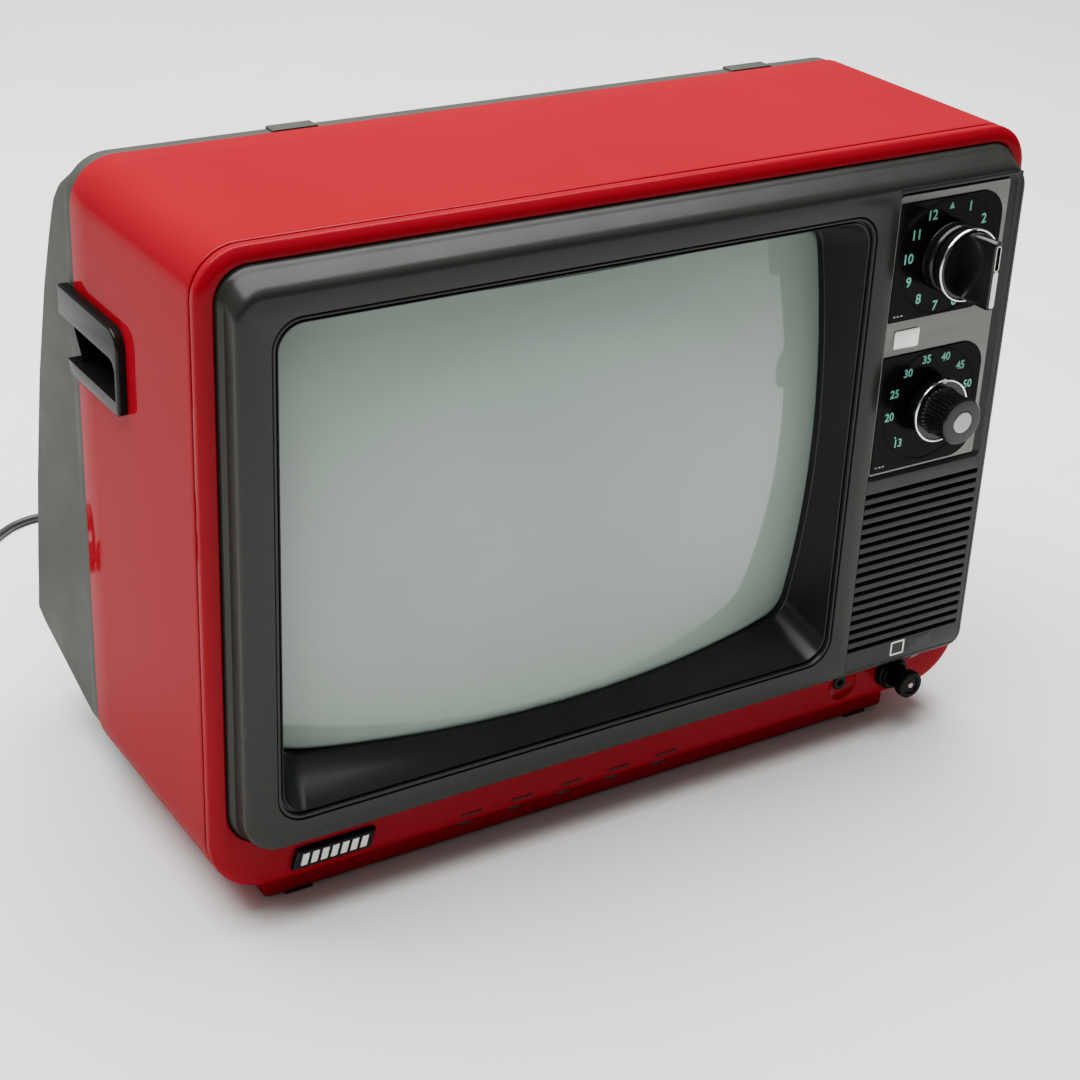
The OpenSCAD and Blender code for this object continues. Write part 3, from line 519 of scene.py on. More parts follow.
PINK = finish_of("knob_dot", (0.50, 0.36, 0.35), 0.35, vary=0.1, patch=200)
CORD = finish_of(
    "cord_black", (0.012, 0.012, 0.012), 0.38, vary=0.15, patch=40, grain=0.2, grain_size=1800
)
TIE = finish_of("tie_plastic", (0.72, 0.72, 0.68), 0.5, vary=0.06, patch=80)
BRASS = finish_of("plug_brass", (0.66, 0.60, 0.45), 0.25, metal=1.0, vary=0.08, patch=120)
STEEL = finish_of("steel", (0.55, 0.55, 0.54), 0.32, metal=1.0, vary=0.08, patch=60, stretch=(1, 0.15, 1))
ZINC = finish_of("zinc_steel", (0.60, 0.60, 0.56), 0.38, metal=1.0, vary=0.12, patch=40)
RUBBER = finish_of("rubber", (0.035, 0.004, 0.005), 0.7, vary=0.2, patch=60, grain=0.3)
SCREEN = screen_finish()


# ---------------------------------------------------------------- cabinet


def cabinet(d):
    """The cabinet's outline, pulled in by d."""
    return outline(
        -HALF + d, HALF - d, BOTTOM + d, TOP - d, max(22 - d, 1.5), max(29 - d, 1.5)
    )


def bezel_line(side_out, bottom, top):
    """The bezel's outline; its side, bottom and top run back at their own slopes."""
    return outline(
        -209.3 - side_out, 209.3 + side_out, 44.1 - bottom, 310.1 + top,
        13 + side_out, 18 + side_out, right=8 + side_out,
    )


GRIP_Y0, GRIP_Y1, GRIP_Z0, GRIP_Z1 = 89.5, 157.5, 226.0, 265.5


def grip_shape(grow=0.0):
    """A grip's side view as (y, z) points, from the lower front corner."""
    y0, y1, z0, z1 = GRIP_Y0 - grow, GRIP_Y1 + grow, GRIP_Z0 - grow, GRIP_Z1 + grow
    low, high = 3.0, 9 + grow
    front = [(y0 + low - u, z0 + low - v) for u, v in arc(low)]
    top = [(y0 + high - v, z1 - high + u) for u, v in arc(high)]
    return front + top + [(y1, z1), (y1, z1 - 14), (y1 - 11.5, z0)]


def arc(r, steps=8):
    """Quarter of a circle about the origin, from (0, r) to (r, 0)."""
    turns = [math.pi / 2 * i / steps for i in range(steps + 1)]
    return [(r * math.sin(a), r * math.cos(a)) for a in turns]


def across(name, sections, mat, closed=False, **more):
    """A piece through outlines in y and z given as (x, outline)."""
    points = [(x, y, z) for x, pts in sections for y, z in pts]
    faces = skin(len(sections), len(sections[0][1]), closed)
    return piece(name, points, faces, mat, **more)


def sideways(name, pts, x0, x1, mat):
    """A side view of (y, z) points made solid from x0 to x1."""
    n = len(pts)
    points = [(x0, y, z) for y, z in pts] + [(x1, y, z) for y, z in pts]
    faces = ring_faces(2, n, False) + [tuple(range(n)), tuple(range(2 * n - 1, n - 1, -1))]
    return piece(name, points, faces, mat)


def make_cabinet():
    """The red shell with its front rim, groove, strip and plinth."""
    half, z0, z1, rt, rb, right = 212.1, 41.3, 317.7, 15, 20, 10

    def mouth(grow):
        wide = half + grow
        return outline(
            -wide, wide, z0 - grow, z1 + grow, rt + grow, rb + grow, right=right + grow
        )

    sections = [
        (17, mouth(0)), (14.9, mouth(0)), (14.1, mouth(0.3)), (13.8, mouth(0.8)),
        (13.9, cabinet(4.4)), (14.5, cabinet(2.6)), (15.5, cabinet(1.0)), (15.9, cabinet(0.45)),
        (16.4, cabinet(0.1)), (17.0, cabinet(0)), (19.7, cabinet(0)), (20.1, cabinet(0.2)),
        (20.4, cabinet(1.1)), (21.4, cabinet(1.1)), (21.7, cabinet(0.2)), (22.2, cabinet(0)),
        *[(y, cabinet(0)) for y in (24, 40, 60, 85, 110, 130, 147.6)],
        (148.7, cabinet(0.4)), (149, cabinet(1.2)), (149, cabinet(3.5)),
        (19, cabinet(3.5)), (19, mouth(2)),
    ]
    shell = loft("cabinet_shell", sections, RED, closed=True)

    def base(d):
        return outline(-190 + d, 180 - d, 1.5 + d, 18, 2, 2, spans=4)

    rounded_base = [(24, base(1.5)), (24.4, base(0.4)), (25.5, base(0)), (142.5, base(0)), (144, base(1.5))]
    combine(shell, loft("plinth", rounded_base, RED), "UNION")
    for s in (-1, 1):
        hollow = sideways("grip_cut", grip_shape(-1), s * 190, s * 230, RED)
        combine(shell, hollow, "DIFFERENCE")
    for x in WHEELS:
        slot_cut = box("wheel_cut", (x - 9.5, x + 9.5), (20, 36.5), (11, 15.8), RED)
        combine(shell, slot_cut, "DIFFERENCE")
    drill(shell, VOLUME_X, VOLUME_Z, disc(6.3, 5, 21), RED)
    dish = [(0, 5), (9.2, 5), (9.2, 14.2), (8.2, 15.2), (4.4, 16.2), (4.4, 21), (0, 21)]
    drill(shell, JACK_X, VOLUME_Z, dish, RED)
    settle(shell, "chassis", ["front_cabinet"])


def make_marks():
    """Low raised marks in place of the words on the strip under the bezel."""
    parts = []
    for x in WHEELS:
        for k in range(3):
            left = x - 6 + 4.2 * k
            parts.append(box("mark", (left, left + 3.2), (13.5, 14.4), (20.6, 22.2), DEEP_RED))
    joined("strip_marks", parts, "chassis")
    wedge = [(186, 33.5), (203, 36.5), (203, 40.2)]
    prism("volume_mark", wedge, 13.6, 14.4, PALE, slot="bright_metal")


def make_bezel():
    """The grey frame round the screen and the controls."""
    outer = [
        (0.0, bezel_line(-3.4, -3.4, -3.4)), (0.12, bezel_line(-2.3, -2.3, -2.3)),
        (0.5, bezel_line(-1.2, -1.2, -1.1)), (1.1, bezel_line(-0.5, -0.5, -0.3)),
        (2.0, bezel_line(-0.1, -0.1, 0.5)), (3.2, bezel_line(0.1, 0.1, 1.6)),
        (9.6, bezel_line(0.5, 0.5, 5.0)), (10.4, bezel_line(0.7, 0.7, 5.6)),
        (11.4, bezel_line(1.5, 1.5, 6.4)), (12.4, bezel_line(2.2, 2.2, 7.0)),
        (14.2, bezel_line(2.5, 2.5, 7.3)), (20, bezel_line(2.5, 2.5, 7.3)),
        (20, bezel_line(-1, -1, 4)), (10, bezel_line(-3.2, -3.2, 2)), (3.5, bezel_line(-4, -4, -3)),
    ]
    body = loft("bezel_frame", outer, GREY)
    screen = outline(-193.9, 118.1, 57, 297.9, 14)
    combine(body, prism("screen_cut", screen, -2, 6, GREY), "DIFFERENCE")
    combine(body, box("panel_cut", (129.5, 206), (-2, 6), (47, 307), GREY), "DIFFERENCE")
    rounded_edges(body, 0.35, limit=50)
    settle(body, "chassis", ["bezel"])


def face_y(x, z):
    """How far back the tube's face lies."""
    return NOSE + FACE_R - math.sqrt(FACE_R**2 - (x - TUBE_X) ** 2 - (z - TUBE_Z) ** 2)


def make_mask():
    """The black surround: a bead, a groove, and a slope whose inner edge follows the glass."""

    def line(inset, r, swell=0.0):
        """The opening's outline, pulled in on its sides, bottom and top."""
        side_in, bottom, top = inset if isinstance(inset, tuple) else (inset,) * 3
        return outline(-193.9 + side_in, 118.1 - side_in, 57 + bottom, 297.9 - top, r, swell=swell)

    def before_glass(gap):
        return lambda x, z: face_y(x, z) - gap

    bow = 2.8
    end = (10.6, 16.8, 10.2)
    half_way = (7.0, 10.2, 6.9)
    sections = [
        (2.8, line(0.4, 13.7)), (1.1, line(0.4, 13.7)), (0.5, line(0.7, 13.5)), (0.3, line(1.2, 13.2)),
        (0.45, line(1.8, 12.9)), (1.1, line(2.1, 12.7)), (2.8, line(2.3, 12.6)), (2.8, line(3.0, 12.2)),
        (1.9, line(3.2, 12.1)), (1.65, line(3.5, 12.0)), (1.9, line(3.9, 12.0)),
        (lambda x, z: 0.5 * (face_y(x, z) - 2.4), line(half_way, 12.5, bow * 0.5)),
        (before_glass(4.4), line(end, 13, bow)),
        (before_glass(4.0), line((11.1, 17.3, 10.7), 12.8, bow)),
        (before_glass(3.2), line((11.2, 17.4, 10.8), 12.8, bow)),
        (before_glass(-1.2), line((11.0, 17.2, 10.6), 12.8, bow)),
        (before_glass(-1.2), line((8.2, 14.4, 7.8), 13.5, bow)),
        (before_glass(1.6), line((8.0, 14.0, 7.6), 13.5, bow)),
        (6.5, line(1.2, 14)),
    ]
    loft(
        "screen_mask_piece", sections, MASK, closed=True, nodes=["screen_mask"], slot="black_plastic"
    )


def make_screen():
    """The curved glass front of the tube, with its side walls."""
    sections = []
    rings = 24
    for i in range(1, rings + 1):
        t = i / rings
        w, h = 155 * t, 121 * t
        pts = outline(
            TUBE_X - w, TUBE_X + w, TUBE_Z - h, TUBE_Z + h, 27 * t + 0.4, steps=8, spans=10
        )
        sections.append([(x, face_y(x, z), z) for x, z in pts])
    rim = sections[-1]
    sections.append([(x, 80, z) for x, _, z in rim])
    points = [p for s in sections for p in s]
    faces = skin(len(sections), len(rim), False)
    piece(
        "screen_glass_piece", points, faces, SCREEN,
        nodes=["tube_faceplate"], slot="screen_glass", crease=50,
    )


# ---------------------------------------------------------------- control column


def make_panel():
    """The slotted column with the recess for the dials."""
    x0, x1, z0, z1 = 129.8, 205.7, 47.3, 306.7
    panel = box("control_column", (x0, x1), (0, 3), (z0, z1), PANEL)
    recess = [
        (-1, outline(129.0, 203.2, 155.9, 305.6, 3, spans=2, steps=4)),
        (0.3, outline(129.0, 202.6, 156.6, 305.2, 3, spans=2, steps=4)),
        (2.2, outline(129.0, 199.6, 158.4, 304.2, 2, spans=2, steps=4)),
    ]
    combine(panel, loft("recess_cut", recess, PANEL), "DIFFERENCE")
    for i in range(17):
        z = 148 - 5.5 * i
        pts = outline(127, 203.6, z - 1.35, z + 1.35, 1.3, spans=1, steps=5)
        combine(panel, prism("slot_cut", pts, -1, 4, PANEL), "DIFFERENCE")
    rounded_edges(panel, 0.25, limit=50)
    settle(panel, "chassis", ["control_panel"])
    # painted shade: a thin black sheet just behind the slots, standing in for the shade inside them
    box("grille_shade_sheet", (130.5, 205), (4.2, 4.8), (55, 152), BLACK, slot="black_plastic")


def make_dials():
    """The metal surround, the two black plates and their numbers."""
    sheet_line = outline(130.6, 198.9, 158.9, 303.8, 1.2, spans=2, steps=4)
    small_line = outline(130.9, 198.6, 159.2, 303.5, 1, spans=2, steps=4)
    loft(
        "dial_surround_piece", [(2.0, sheet_line), (1.2, sheet_line), (0.9, small_line)], METAL,
        nodes=["dial_surround"], slot="surround_metal",
    )

    def plate_line(z0, z1, inset):
        """A plate's outline: square on the left, rounded by 14 mm on the right."""
        low = quarter(181.5, z0 + 14, 14 - inset, -90, 10)
        high = quarter(181.5, z1 - 14, 14 - inset, 0, 10)
        return [(130.9 + inset, z0 + inset)] + low + high + [(130.9 + inset, z1 - inset)]

    for name, z, z0 in (("vhf_dial", VHF_Z, 240.4), ("uhf_dial", UHF_Z, 160.4)):
        pts = plate_line(z0, z + 29.8, 0)
        small = plate_line(z0, z + 29.8, 0.3)
        plate = loft(name, [(0.05, small), (0.3, pts), (0.9, pts)], DIAL)
        drill(plate, DIAL_X, z, disc(5.6, -2, 3), DIAL)
        groove = turned("circle", DIAL_X, z, [
            (28.6, 0.35), (28.6, 0.0), (28.9, -0.25), (29.4, -0.25), (29.7, 0.0), (29.7, 0.35)
        ], DIAL, around=96)
        joined(name + "_face", [plate, groove], "chassis", [name + "_plate"])


def numbers(z, radius, size, entries):
    """Numbers round a dial, each given as (text, angle in degrees)."""
    narrow = 0.95
    parts = []
    for text, angle in entries:
        curve = bpy.data.curves.new("number", "FONT")
        curve.body = text
        curve.size = size * MM
        curve.extrude = 0.05 * MM
        curve.offset = 0.017 * size * MM
        curve.resolution_u = 3
        curve.align_x = "CENTER"
        curve.align_y = "CENTER"
        obj = show(bpy.data.objects.new("number", curve))
        a = math.radians(angle)
        spot = at(DIAL_X + radius * math.cos(a), 0.02, z + radius * math.sin(a))
        turn = Matrix.Rotation(math.pi / 2, 4, "X") @ Matrix.Diagonal((narrow, 1, 1, 1))
        mesh = bpy.data.meshes.new_from_object(obj)
        mesh.transform(Matrix.Translation(spot) @ turn)
        bpy.data.objects.remove(obj)
        solid = show(bpy.data.objects.new("number", mesh))
        mesh.materials.clear()
        mesh.materials.append(GREEN)
        parts.append(solid)
    return parts


def make_numbers():
    """Channel numbers, and plain marks where the dials carry words."""
    step = 360 / 13
    entries = [(str(k), 93.3 - step * k) for k in range(1, 13)]
    parts = numbers(VHF_Z, 25.4, 7.0, entries)
    a = math.radians(93.3)
    cx, cz = DIAL_X + 25.4 * math.cos(a), VHF_Z + 25.4 * math.sin(a)
    wedge = [(cx - 1.6, cz - 1.6), (cx + 1.6, cz - 1.6), (cx, cz + 1.8)]
    parts.append(prism("mark", wedge, -0.03, 0.07, GREEN))
    joined("vhf_numbers", parts, "chassis")
    entries = [
        ("13", 226), ("20", 186), ("25", 158), ("30", 130), ("35", 101.5),
        ("40", 73), ("45", 44.5), ("50", 14.5), ("55", -14), ("62", -50),
    ]
    parts = numbers(UHF_Z, 25.0, 6.0, entries)
    parts.append(turned("dot", 144.2, UHF_Z - 14.6, disc(0.5, -0.03, 0.07), GREEN, around=16))
    joined("uhf_numbers", parts, "chassis")
    for name, z in (("vhf_band_mark", 243.4), ("uhf_band_mark", 163.6)):
        marks = []
        for k in range(3):
            left = 133.2 + 2.2 * k
            marks.append(box("mark", (left, left + 1.4), (-0.03, 0.07), (z - 0.35, z + 0.35), PALE))
        joined(name, marks, "chassis")


def make_badges():
    """Blank plates where the set carried names."""
    lean = 0.27  # the plate leans over by this much of its height

    def slanted(x0, x1, z0, z1):
        low, high = lean * (z0 - 22), lean * (z1 - 22)
        return [(x0 + low, z0), (x1 + low, z0), (x1 + high, z1), (x0 + high, z1)]

    line = slanted(-181.6, -141.2, 22.2, 32.0)
    small = slanted(-180.9, -142.0, 22.9, 31.3)
    back = loft("badge_back", [(14.2, line), (11.4, line), (10.8, small)], BLACK)
    bars = []
    for k in range(7):
        x = -178.6 + 5.1 * k
        pts = slanted(x, x + 3.3, 24.4, 30.2)
        bars.append(loft("bar", [(11.1, pts), (10.4, pts)], SILVER))
    joined("name_plate", [back] + bars, "chassis", ["badge_plates"])
    face = plate_outline(136.2, 151.6, 225.8, 235.4, 1.2)
    inner = plate_outline(136.8, 151.0, 226.4, 234.8, 0.9)
    loft("small_plate", [(1.1, face), (0.4, face), (0.25, inner)], SILVER, slot="bright_metal")
    tag = plate_outline(170.5, 186, 50.6, 57.2, 0.8)
    small = plate_outline(170.9, 185.6, 51, 56.8, 0.5)
    loft("type_plate", [(0.3, tag), (-0.15, tag), (-0.3, small)], PANEL, slot="dark_plastic")
    outer = plate_outline(159.3, 168.3, 49.6, 57.6, 0.5)
    gap = plate_outline(160.1, 167.5, 50.4, 56.8, 0.3)
    rims = [(0.1, outer), (-0.15, outer), (-0.15, gap), (0.1, gap)]
    loft("type_frame", rims, SILVER, closed=True, slot="bright_metal")


def make_knobs():
    """The two channel knobs, the fine tuning ring and the power and volume knob."""

    def ribs(count, depth, y0, y1):
        def dent(a, r, y):
            return r - depth * (0.5 - 0.5 * math.cos(a * count)) ** 2 if y0 < y < y1 else r

        return dent

    fine = [
        (0, -8.2), (5, -8.2), (15.6, -8.2), (16.7, -7.9), (17.3, -7.2), (17.5, -6.4), (17.5, -6.2),
        (17.5, -2.2), (17.5, -2.0), (17.3, -1.3), (16.5, -0.9), (0, -0.9),
    ]
    turned(
        "fine_tuning_ring", DIAL_X, VHF_Z, fine, KNOB, around=180, dent=ribs(60, 0.35, -6.3, -2.1),
        body="vhf_fine_tuning", nodes=["vhf_fine_ring"], slot="knob_black",
    )
    dish = [
        (0, -10.8), (4, -11.0), (8, -11.8), (11.5, -13.2), (14, -14.6), (15.2, -15.1), (16.0, -15.1),
        (16.55, -14.9), (17.9, -14.3), (17.9, -12.3), (16.5, -11.9), (16.55, -9.4), (16.2, -9.0), (0, -9.0),
    ]
    knob = turned("knob_base", DIAL_X, VHF_Z, dish, KNOB, around=96)
    widths = [
        (-10.4, 4.6, 14.6), (-13, 4.2, 15.8), (-16, 3.9, 16.6), (-20, 3.5, 16.9),
        (-26, 3.0, 17.1), (-31.6, 2.55, 17.2), (-32.6, 2.4, 17.05), (-33, 2.05, 16.7),
    ]
    wing = []
    for y, w, h in widths:
        r = min(w * 0.95, 2.4)
        line = outline(DIAL_X - w, DIAL_X + w, VHF_Z - h, VHF_Z + h, r, spans=2, steps=5)
        wing.append((y, line))
    combine(knob, loft("wing", wing, KNOB), "UNION")

    def upright(w, low, high, r):
        """Outline of a narrow bar on the knob's wing."""
        return plate_outline(DIAL_X - w, DIAL_X + w, VHF_Z + low, VHF_Z + high, r)

    slit = upright(1.0, 3.0, 14.6, 0.95)
    combine(knob, prism("slit", slit, -34, -32.2, KNOB), "DIFFERENCE")
    settle(knob, "vhf_selector", ["vhf_knob"])
    strip = upright(1.45, -15.6, 2.4, 1.2)
    silver = {"body": "vhf_selector", "slot": "bright_metal"}
    loft("knob_strip", [(-32.6, strip), (-33.2, strip)], SILVER, **silver)
    halo = upright(1.5, 2.6, 15.2, 1.45)
    inside = upright(1.15, 3.0, 14.8, 1.1)
    rims = [(-32.7, halo), (-33.15, halo), (-33.15, inside), (-32.7, inside)]
    loft("knob_slit_edge", rims, SILVER, closed=True, **silver)
    ring = [
        (16.9, -14.2), (17.0, -15.1), (17.3, -15.5), (17.7, -15.6),
        (18.1, -15.4), (18.3, -15.0), (18.3, -14.5), (18.1, -14.2),
    ]
    turned(
        "vhf_chrome_ring", DIAL_X, VHF_Z, ring, CHROME, around=96,
        body="vhf_selector", nodes=["vhf_knob_ring"], slot="chrome",
    )

    skirt = [
        (0, -9.0), (15.0, -9.0), (15.2, -8.8), (16.2, -8.4), (16.2, -6.6),
        (14.8, -6.2), (14.75, -2.0), (14.4, -1.3), (0, -1.2),
    ]
    base = turned("skirt", DIAL_X, UHF_Z, skirt, KNOB, around=96)
    barrel = [
        (0, -24.9), (5.8, -24.9), (6.0, -25.2), (10.6, -25.2), (11.4, -25.0), (11.9, -24.4),
        (12.0, -23.6), (12.0, -22.6), (11.7, -22.3), (11.6, -22.0), (11.7, -16), (12.0, -10.2),
        (12.4, -9.2), (12.6, -8.6), (0, -8.6),
    ]
    dent = ribs(36, 0.75, -22.25, -9.5)
    body = turned("barrel", DIAL_X, UHF_Z, barrel, KNOB, around=288, dent=dent)
    joined("uhf_knob_piece", [base, body], "uhf_tuning", ["uhf_knob"])
    ring = [
        (15.2, -8.3), (15.3, -9.2), (15.6, -9.6), (16.0, -9.7),
        (16.4, -9.5), (16.6, -9.1), (16.6, -8.6), (16.4, -8.3),
    ]
    turned(
        "uhf_chrome_ring", DIAL_X, UHF_Z, ring, CHROME, around=96,
        body="uhf_tuning", nodes=["uhf_knob_ring"], slot="chrome",
    )
    dot = [(0, -10.1), (0.9, -10.05), (1.15, -9.8), (1.15, -9.0), (0, -9.0)]
    turned(
        "uhf_pointer", DIAL_X, UHF_Z + 15.7, dot, TIE, around=24, body="uhf_tuning", slot="white_plastic"
    )
    cap = [(0, -25.15), (2, -25.2), (5.1, -25.4), (5.5, -25.3), (5.7, -25.1), (5.7, -24.6), (0, -24.6)]
    turned(
        "uhf_spun_cap", DIAL_X, UHF_Z, cap, spun_finish(DIAL_X, UHF_Z), around=72,
        body="uhf_tuning", nodes=["uhf_knob_cap"], slot="aluminium",
    )

    collar = [
        (6.4, 14), (6.4, 8.2), (6.7, 7.7), (7.4, 7.5), (8.0, 7.8), (8.3, 8.6),
        (8.4, 9.6), (9.2, 10.0), (9.5, 10.6), (9.6, 13.9), (9.4, 14),
    ]
    turned(
        "volume_collar_piece", VOLUME_X, VOLUME_Z, collar, VOLUME, around=72,
        nodes=["volume_collar"], slot="black_plastic",
    )
    knob = [
        (0, -4.0), (4.2, -4.0), (4.5, -4.6), (4.9, -5.0), (6.2, -5.0), (7.0, -4.7), (7.5, -4.0),
        (7.5, -0.4), (7.3, 0.1), (6.3, 1.4), (5.6, 3.0), (5.4, 5.0), (5.4, 8.2), (5.4, 12),
        (3.0, 12.2), (3.0, 42), (0, 42),
    ]
    turned(
        "volume_knob_piece", VOLUME_X, VOLUME_Z, knob, VOLUME, around=180,
        dent=ribs(30, 0.28, -3.9, -0.5), body="volume", nodes=["volume_knob"], slot="knob_black",
    )
    dot = [(0, -4.9), (1.1, -4.8), (1.5, -4.5), (1.5, -3.8), (0, -3.8)]
    turned(
        "volume_dot", VOLUME_X, VOLUME_Z, dot, PINK, around=32, body="volume", slot="bright_metal"
    )


# ---------------------------------------------------------------- grips


def make_grip(s, name, node):
    """A hand grip set into the cabinet's side; s is -1 on the viewer's left."""
    flange = sideways("flange", grip_shape(0), s * 219, s * 224.5, GRIP)
    rounded_edges(flange, 1.0, 3)
    pocket_wall = sideways("pocket", grip_shape(-1.6), s * 196, s * 220, GRIP)
    combine(flange, pocket_wall, "UNION")
    front, back, low, high = 93.5, 152.5, 232.6, 251.6
    foot = back - 13
    mouth = [
        (front - 1.2, low), (front - 1.2, high - 4.6), (front + 1, high - 1.1),
        (front + 4.5, high), (back, high), (foot, low),
    ]
    combine(flange, sideways("mouth", mouth, s * 198.5, s * 230, GRIP), "DIFFERENCE")
    hollow = [(front, low), (front, 260), (back, 260), (back, high), (foot, low)]
    combine(flange, sideways("hollow", hollow, s * 198.5, s * 214, GRIP), "DIFFERENCE")
    gap = [(foot, low), (foot, high), (170, high), (170, low)]
    combine(flange, sideways("gap", gap, s * 220.5, s * 230, GRIP), "DIFFERENCE")
    rib = [(92, 238.2), (92, 241.2), (back - 9, 241.2), (back - 9, 238.2)]
    combine(flange, sideways("rib", rib, s * 197, s * 212, GRIP), "UNION")
    settle(flange, "chassis", [node])
    flange.name = name


# ---------------------------------------------------------------- rear

PROFILE_TOP = [
    (149, 320), (160, 319.6), (172, 312.5), (184, 305), (189, 299.5), (193, 291),
    (198, 279), (208, 252), (222, 203.5), (235, 141), (242, 96), (246.5, 60),
]
PROFILE_LOW = [(149, 20), (179, 21.5), (200, 29), (222, 36.8), (240, 43.2), (244.5, 46), (246.5, 50)]


def along(profile, y):
    """Height of a profile of (y, z) points at y."""
    for (y0, z0), (y1, z1) in zip(profile, profile[1:]):
        if y0 <= y <= y1:
            return z0 + (z1 - z0) * (y - y0) / (y1 - y0)
    return profile[-1][1]


def cover_sections(d):
    """The rear cover's outlines from front to back, pulled in by d."""
    out = []
    stops = [
        149, 152, 160, 166, 172, 178, 184, 186.5, 189, 191, 193, 195.5,
        198, 203, 208, 215, 222, 228, 235, 239, 242, 244.5, 246.5,
    ]
    for y in stops:
        if y > 246.5 - d:
            continue
        z1, z0 = along(PROFILE_TOP, y + d) - d, along(PROFILE_LOW, min(y + d, 246.5)) + d
        r = min(8 - d, (z1 - z0) / 2 - 0.5)
        out.append((y, outline(-212.5 + d, 212.5 - d, z0, z1, r, r, steps=6, spans=3)))
    return out


def hump_sections(d):
    """The housing round the tube's neck, pulled in by d."""

    def line(hw, z0, z1, r):
        return outline(TUBE_X - hw + d, TUBE_X + hw - d, z0 + d, z1 - d, r, steps=6, spans=3)

    return [
        (200 - d, line(92, 95, 262, 20)),
        (300, line(80, 105, 250, 18)),
        (352 - d, line(66.5, 118, 237.5, 16)),
        (357 - d, line(65, 119.5, 236, 15)),
        (359.8 - d, line(63.2, 121.3, 234.2, 13.5)),
        (361 - d, line(60.5, 124, 231.5, 12)),
    ]


def make_rear():
    """The grey rear cover with its cooling slots, screw wells and neck housing."""
    cover = loft("rear_shell", cover_sections(0), COVER)
    combine(cover, loft("hump", hump_sections(0), COVER), "UNION")
    hollow = loft("inside", [(140, cover_sections(3.5)[0][1])] + cover_sections(3.5), COVER)
    combine(cover, hollow, "DIFFERENCE")
    combine(cover, loft("inside", hump_sections(3.5), COVER), "DIFFERENCE")
    band = [
        (149.2, cabinet(2.4)), (149.6, cabinet(1.5)), (150.4, cabinet(1.2)), (157.6, cabinet(1.2)),
        (158.6, cabinet(1.6)), (159, cabinet(2.5)), (159, cabinet(10.6)), (149.2, cabinet(10.6)),
    ]
    combine(cover, loft("band", band, COVER, closed=True), "UNION")
    for x0, x1 in ((-120, -97), (140, 165)):
        tab = outline(x0, x1, TOP - 6, TOP, 0.6, spans=1, steps=3)
        combine(cover, loft("tab", [(150, tab), (158.5, tab)], COVER), "UNION")
    rows = [
        (range(-168, 169, 12), 2, (164, 184), (285, 330)),
        (range(-194, -141, 8), 1.6, (196, 250), (150, 262)),
        (range(66, 195, 8), 1.6, (196, 250), (212, 262)),
        (range(-86, 11, 12), 2, (310, 350), (215, 262)),
    ]
    cuts = []
    for places, half, depth, height in rows:
        cuts += [box("cut", (x - half, x + half), depth, height, COVER) for x in places]
    combine(cover, merge(cuts), "DIFFERENCE")
    for x, z in ((-200, 296), (200, 296), (-196, 62), (196, 62)):
        tube = turned("well", x, z, disc(8, 150, 262), COVER, around=32)
        trim = loft("trim", cover_sections(0.2), COVER)
        combine(tube, trim, "INTERSECT")
        combine(cover, tube, "UNION")
        drill(cover, x, z, disc(5.8, 162, 270), COVER, around=32)
    for s in (-1, 1):
        hollow = sideways("grip_cut", grip_shape(-1), s * 190, s * 230, COVER)
        combine(cover, hollow, "DIFFERENCE")
    board = box("board_cut", (-32.3, 32.3), (-12, 12), (-22.3, 22.3), COVER)
    lean = Matrix.Rotation(math.radians(11.8), 4, "X")
    board.matrix_world = Matrix.Translation(at(120, 229.4, 168)) @ lean @ Matrix.Translation(-at(0, 0, 0))
    combine(cover, board, "DIFFERENCE")
    ring = [(0, 236), (13, 236), (13, 248.5), (12, 250), (0, 250)]
    boss = turned("boss", LEAD_X, LEAD_Z, ring, COVER, around=48)
    combine(cover, boss, "UNION")
    drill(cover, LEAD_X, LEAD_Z, disc(7.1, 226, 256), COVER, around=48)
    settle(cover, "chassis", ["rear_cover"])


# ---------------------------------------------------------------- mains lead

LEAD = 5.0
LIES = LEAD / 2
COIL_X, COIL_Y = -236.0, 418.0
PLUG_Y = COIL_Y - 36.5
ROUTE = [
    (-100, 285, 70), (-100, 297, 70), (-100, 316, 63), (-100, 333, 49), (-101, 348, 33), (-102, 362, 19),
    (-103, 377, 9), (-105, 393, 4), (-108, 410, LIES), (-114, 426, LIES), (-125, 438, LIES),
    (-140, 443, LIES), (-156, 440.5, LIES), (-168, 433.5, LIES), (-178, 424.5, LIES),
    (-190, 412.4, LIES), (-200.5, 401.9, LIES),
]


def coil_points():
    """The wound part: a layer that spirals in on the floor and one that spirals out on top."""
    outer, floor_turns, rise, turns, pitch = 36.5, 3.5, 0.3, 7.125, 5.1
    inner = outer - pitch * floor_turns
    out = []
    steps = int(turns * 20)
    for i in range(steps + 1):
        turn = turns * i / steps
        angle = math.radians(-45 - 360 * turn)
        up = min(max((turn - floor_turns) / rise, 0), 1)
        r = outer - pitch * min(turn, floor_turns)
        r += (outer - inner) * max(turn - floor_turns - rise, 0) / (turns - floor_turns - rise)
        z = LIES + pitch * up * up * (3 - 2 * up)
        out.append((COIL_X + r * math.cos(angle), COIL_Y + r * math.sin(angle), z))
    return out


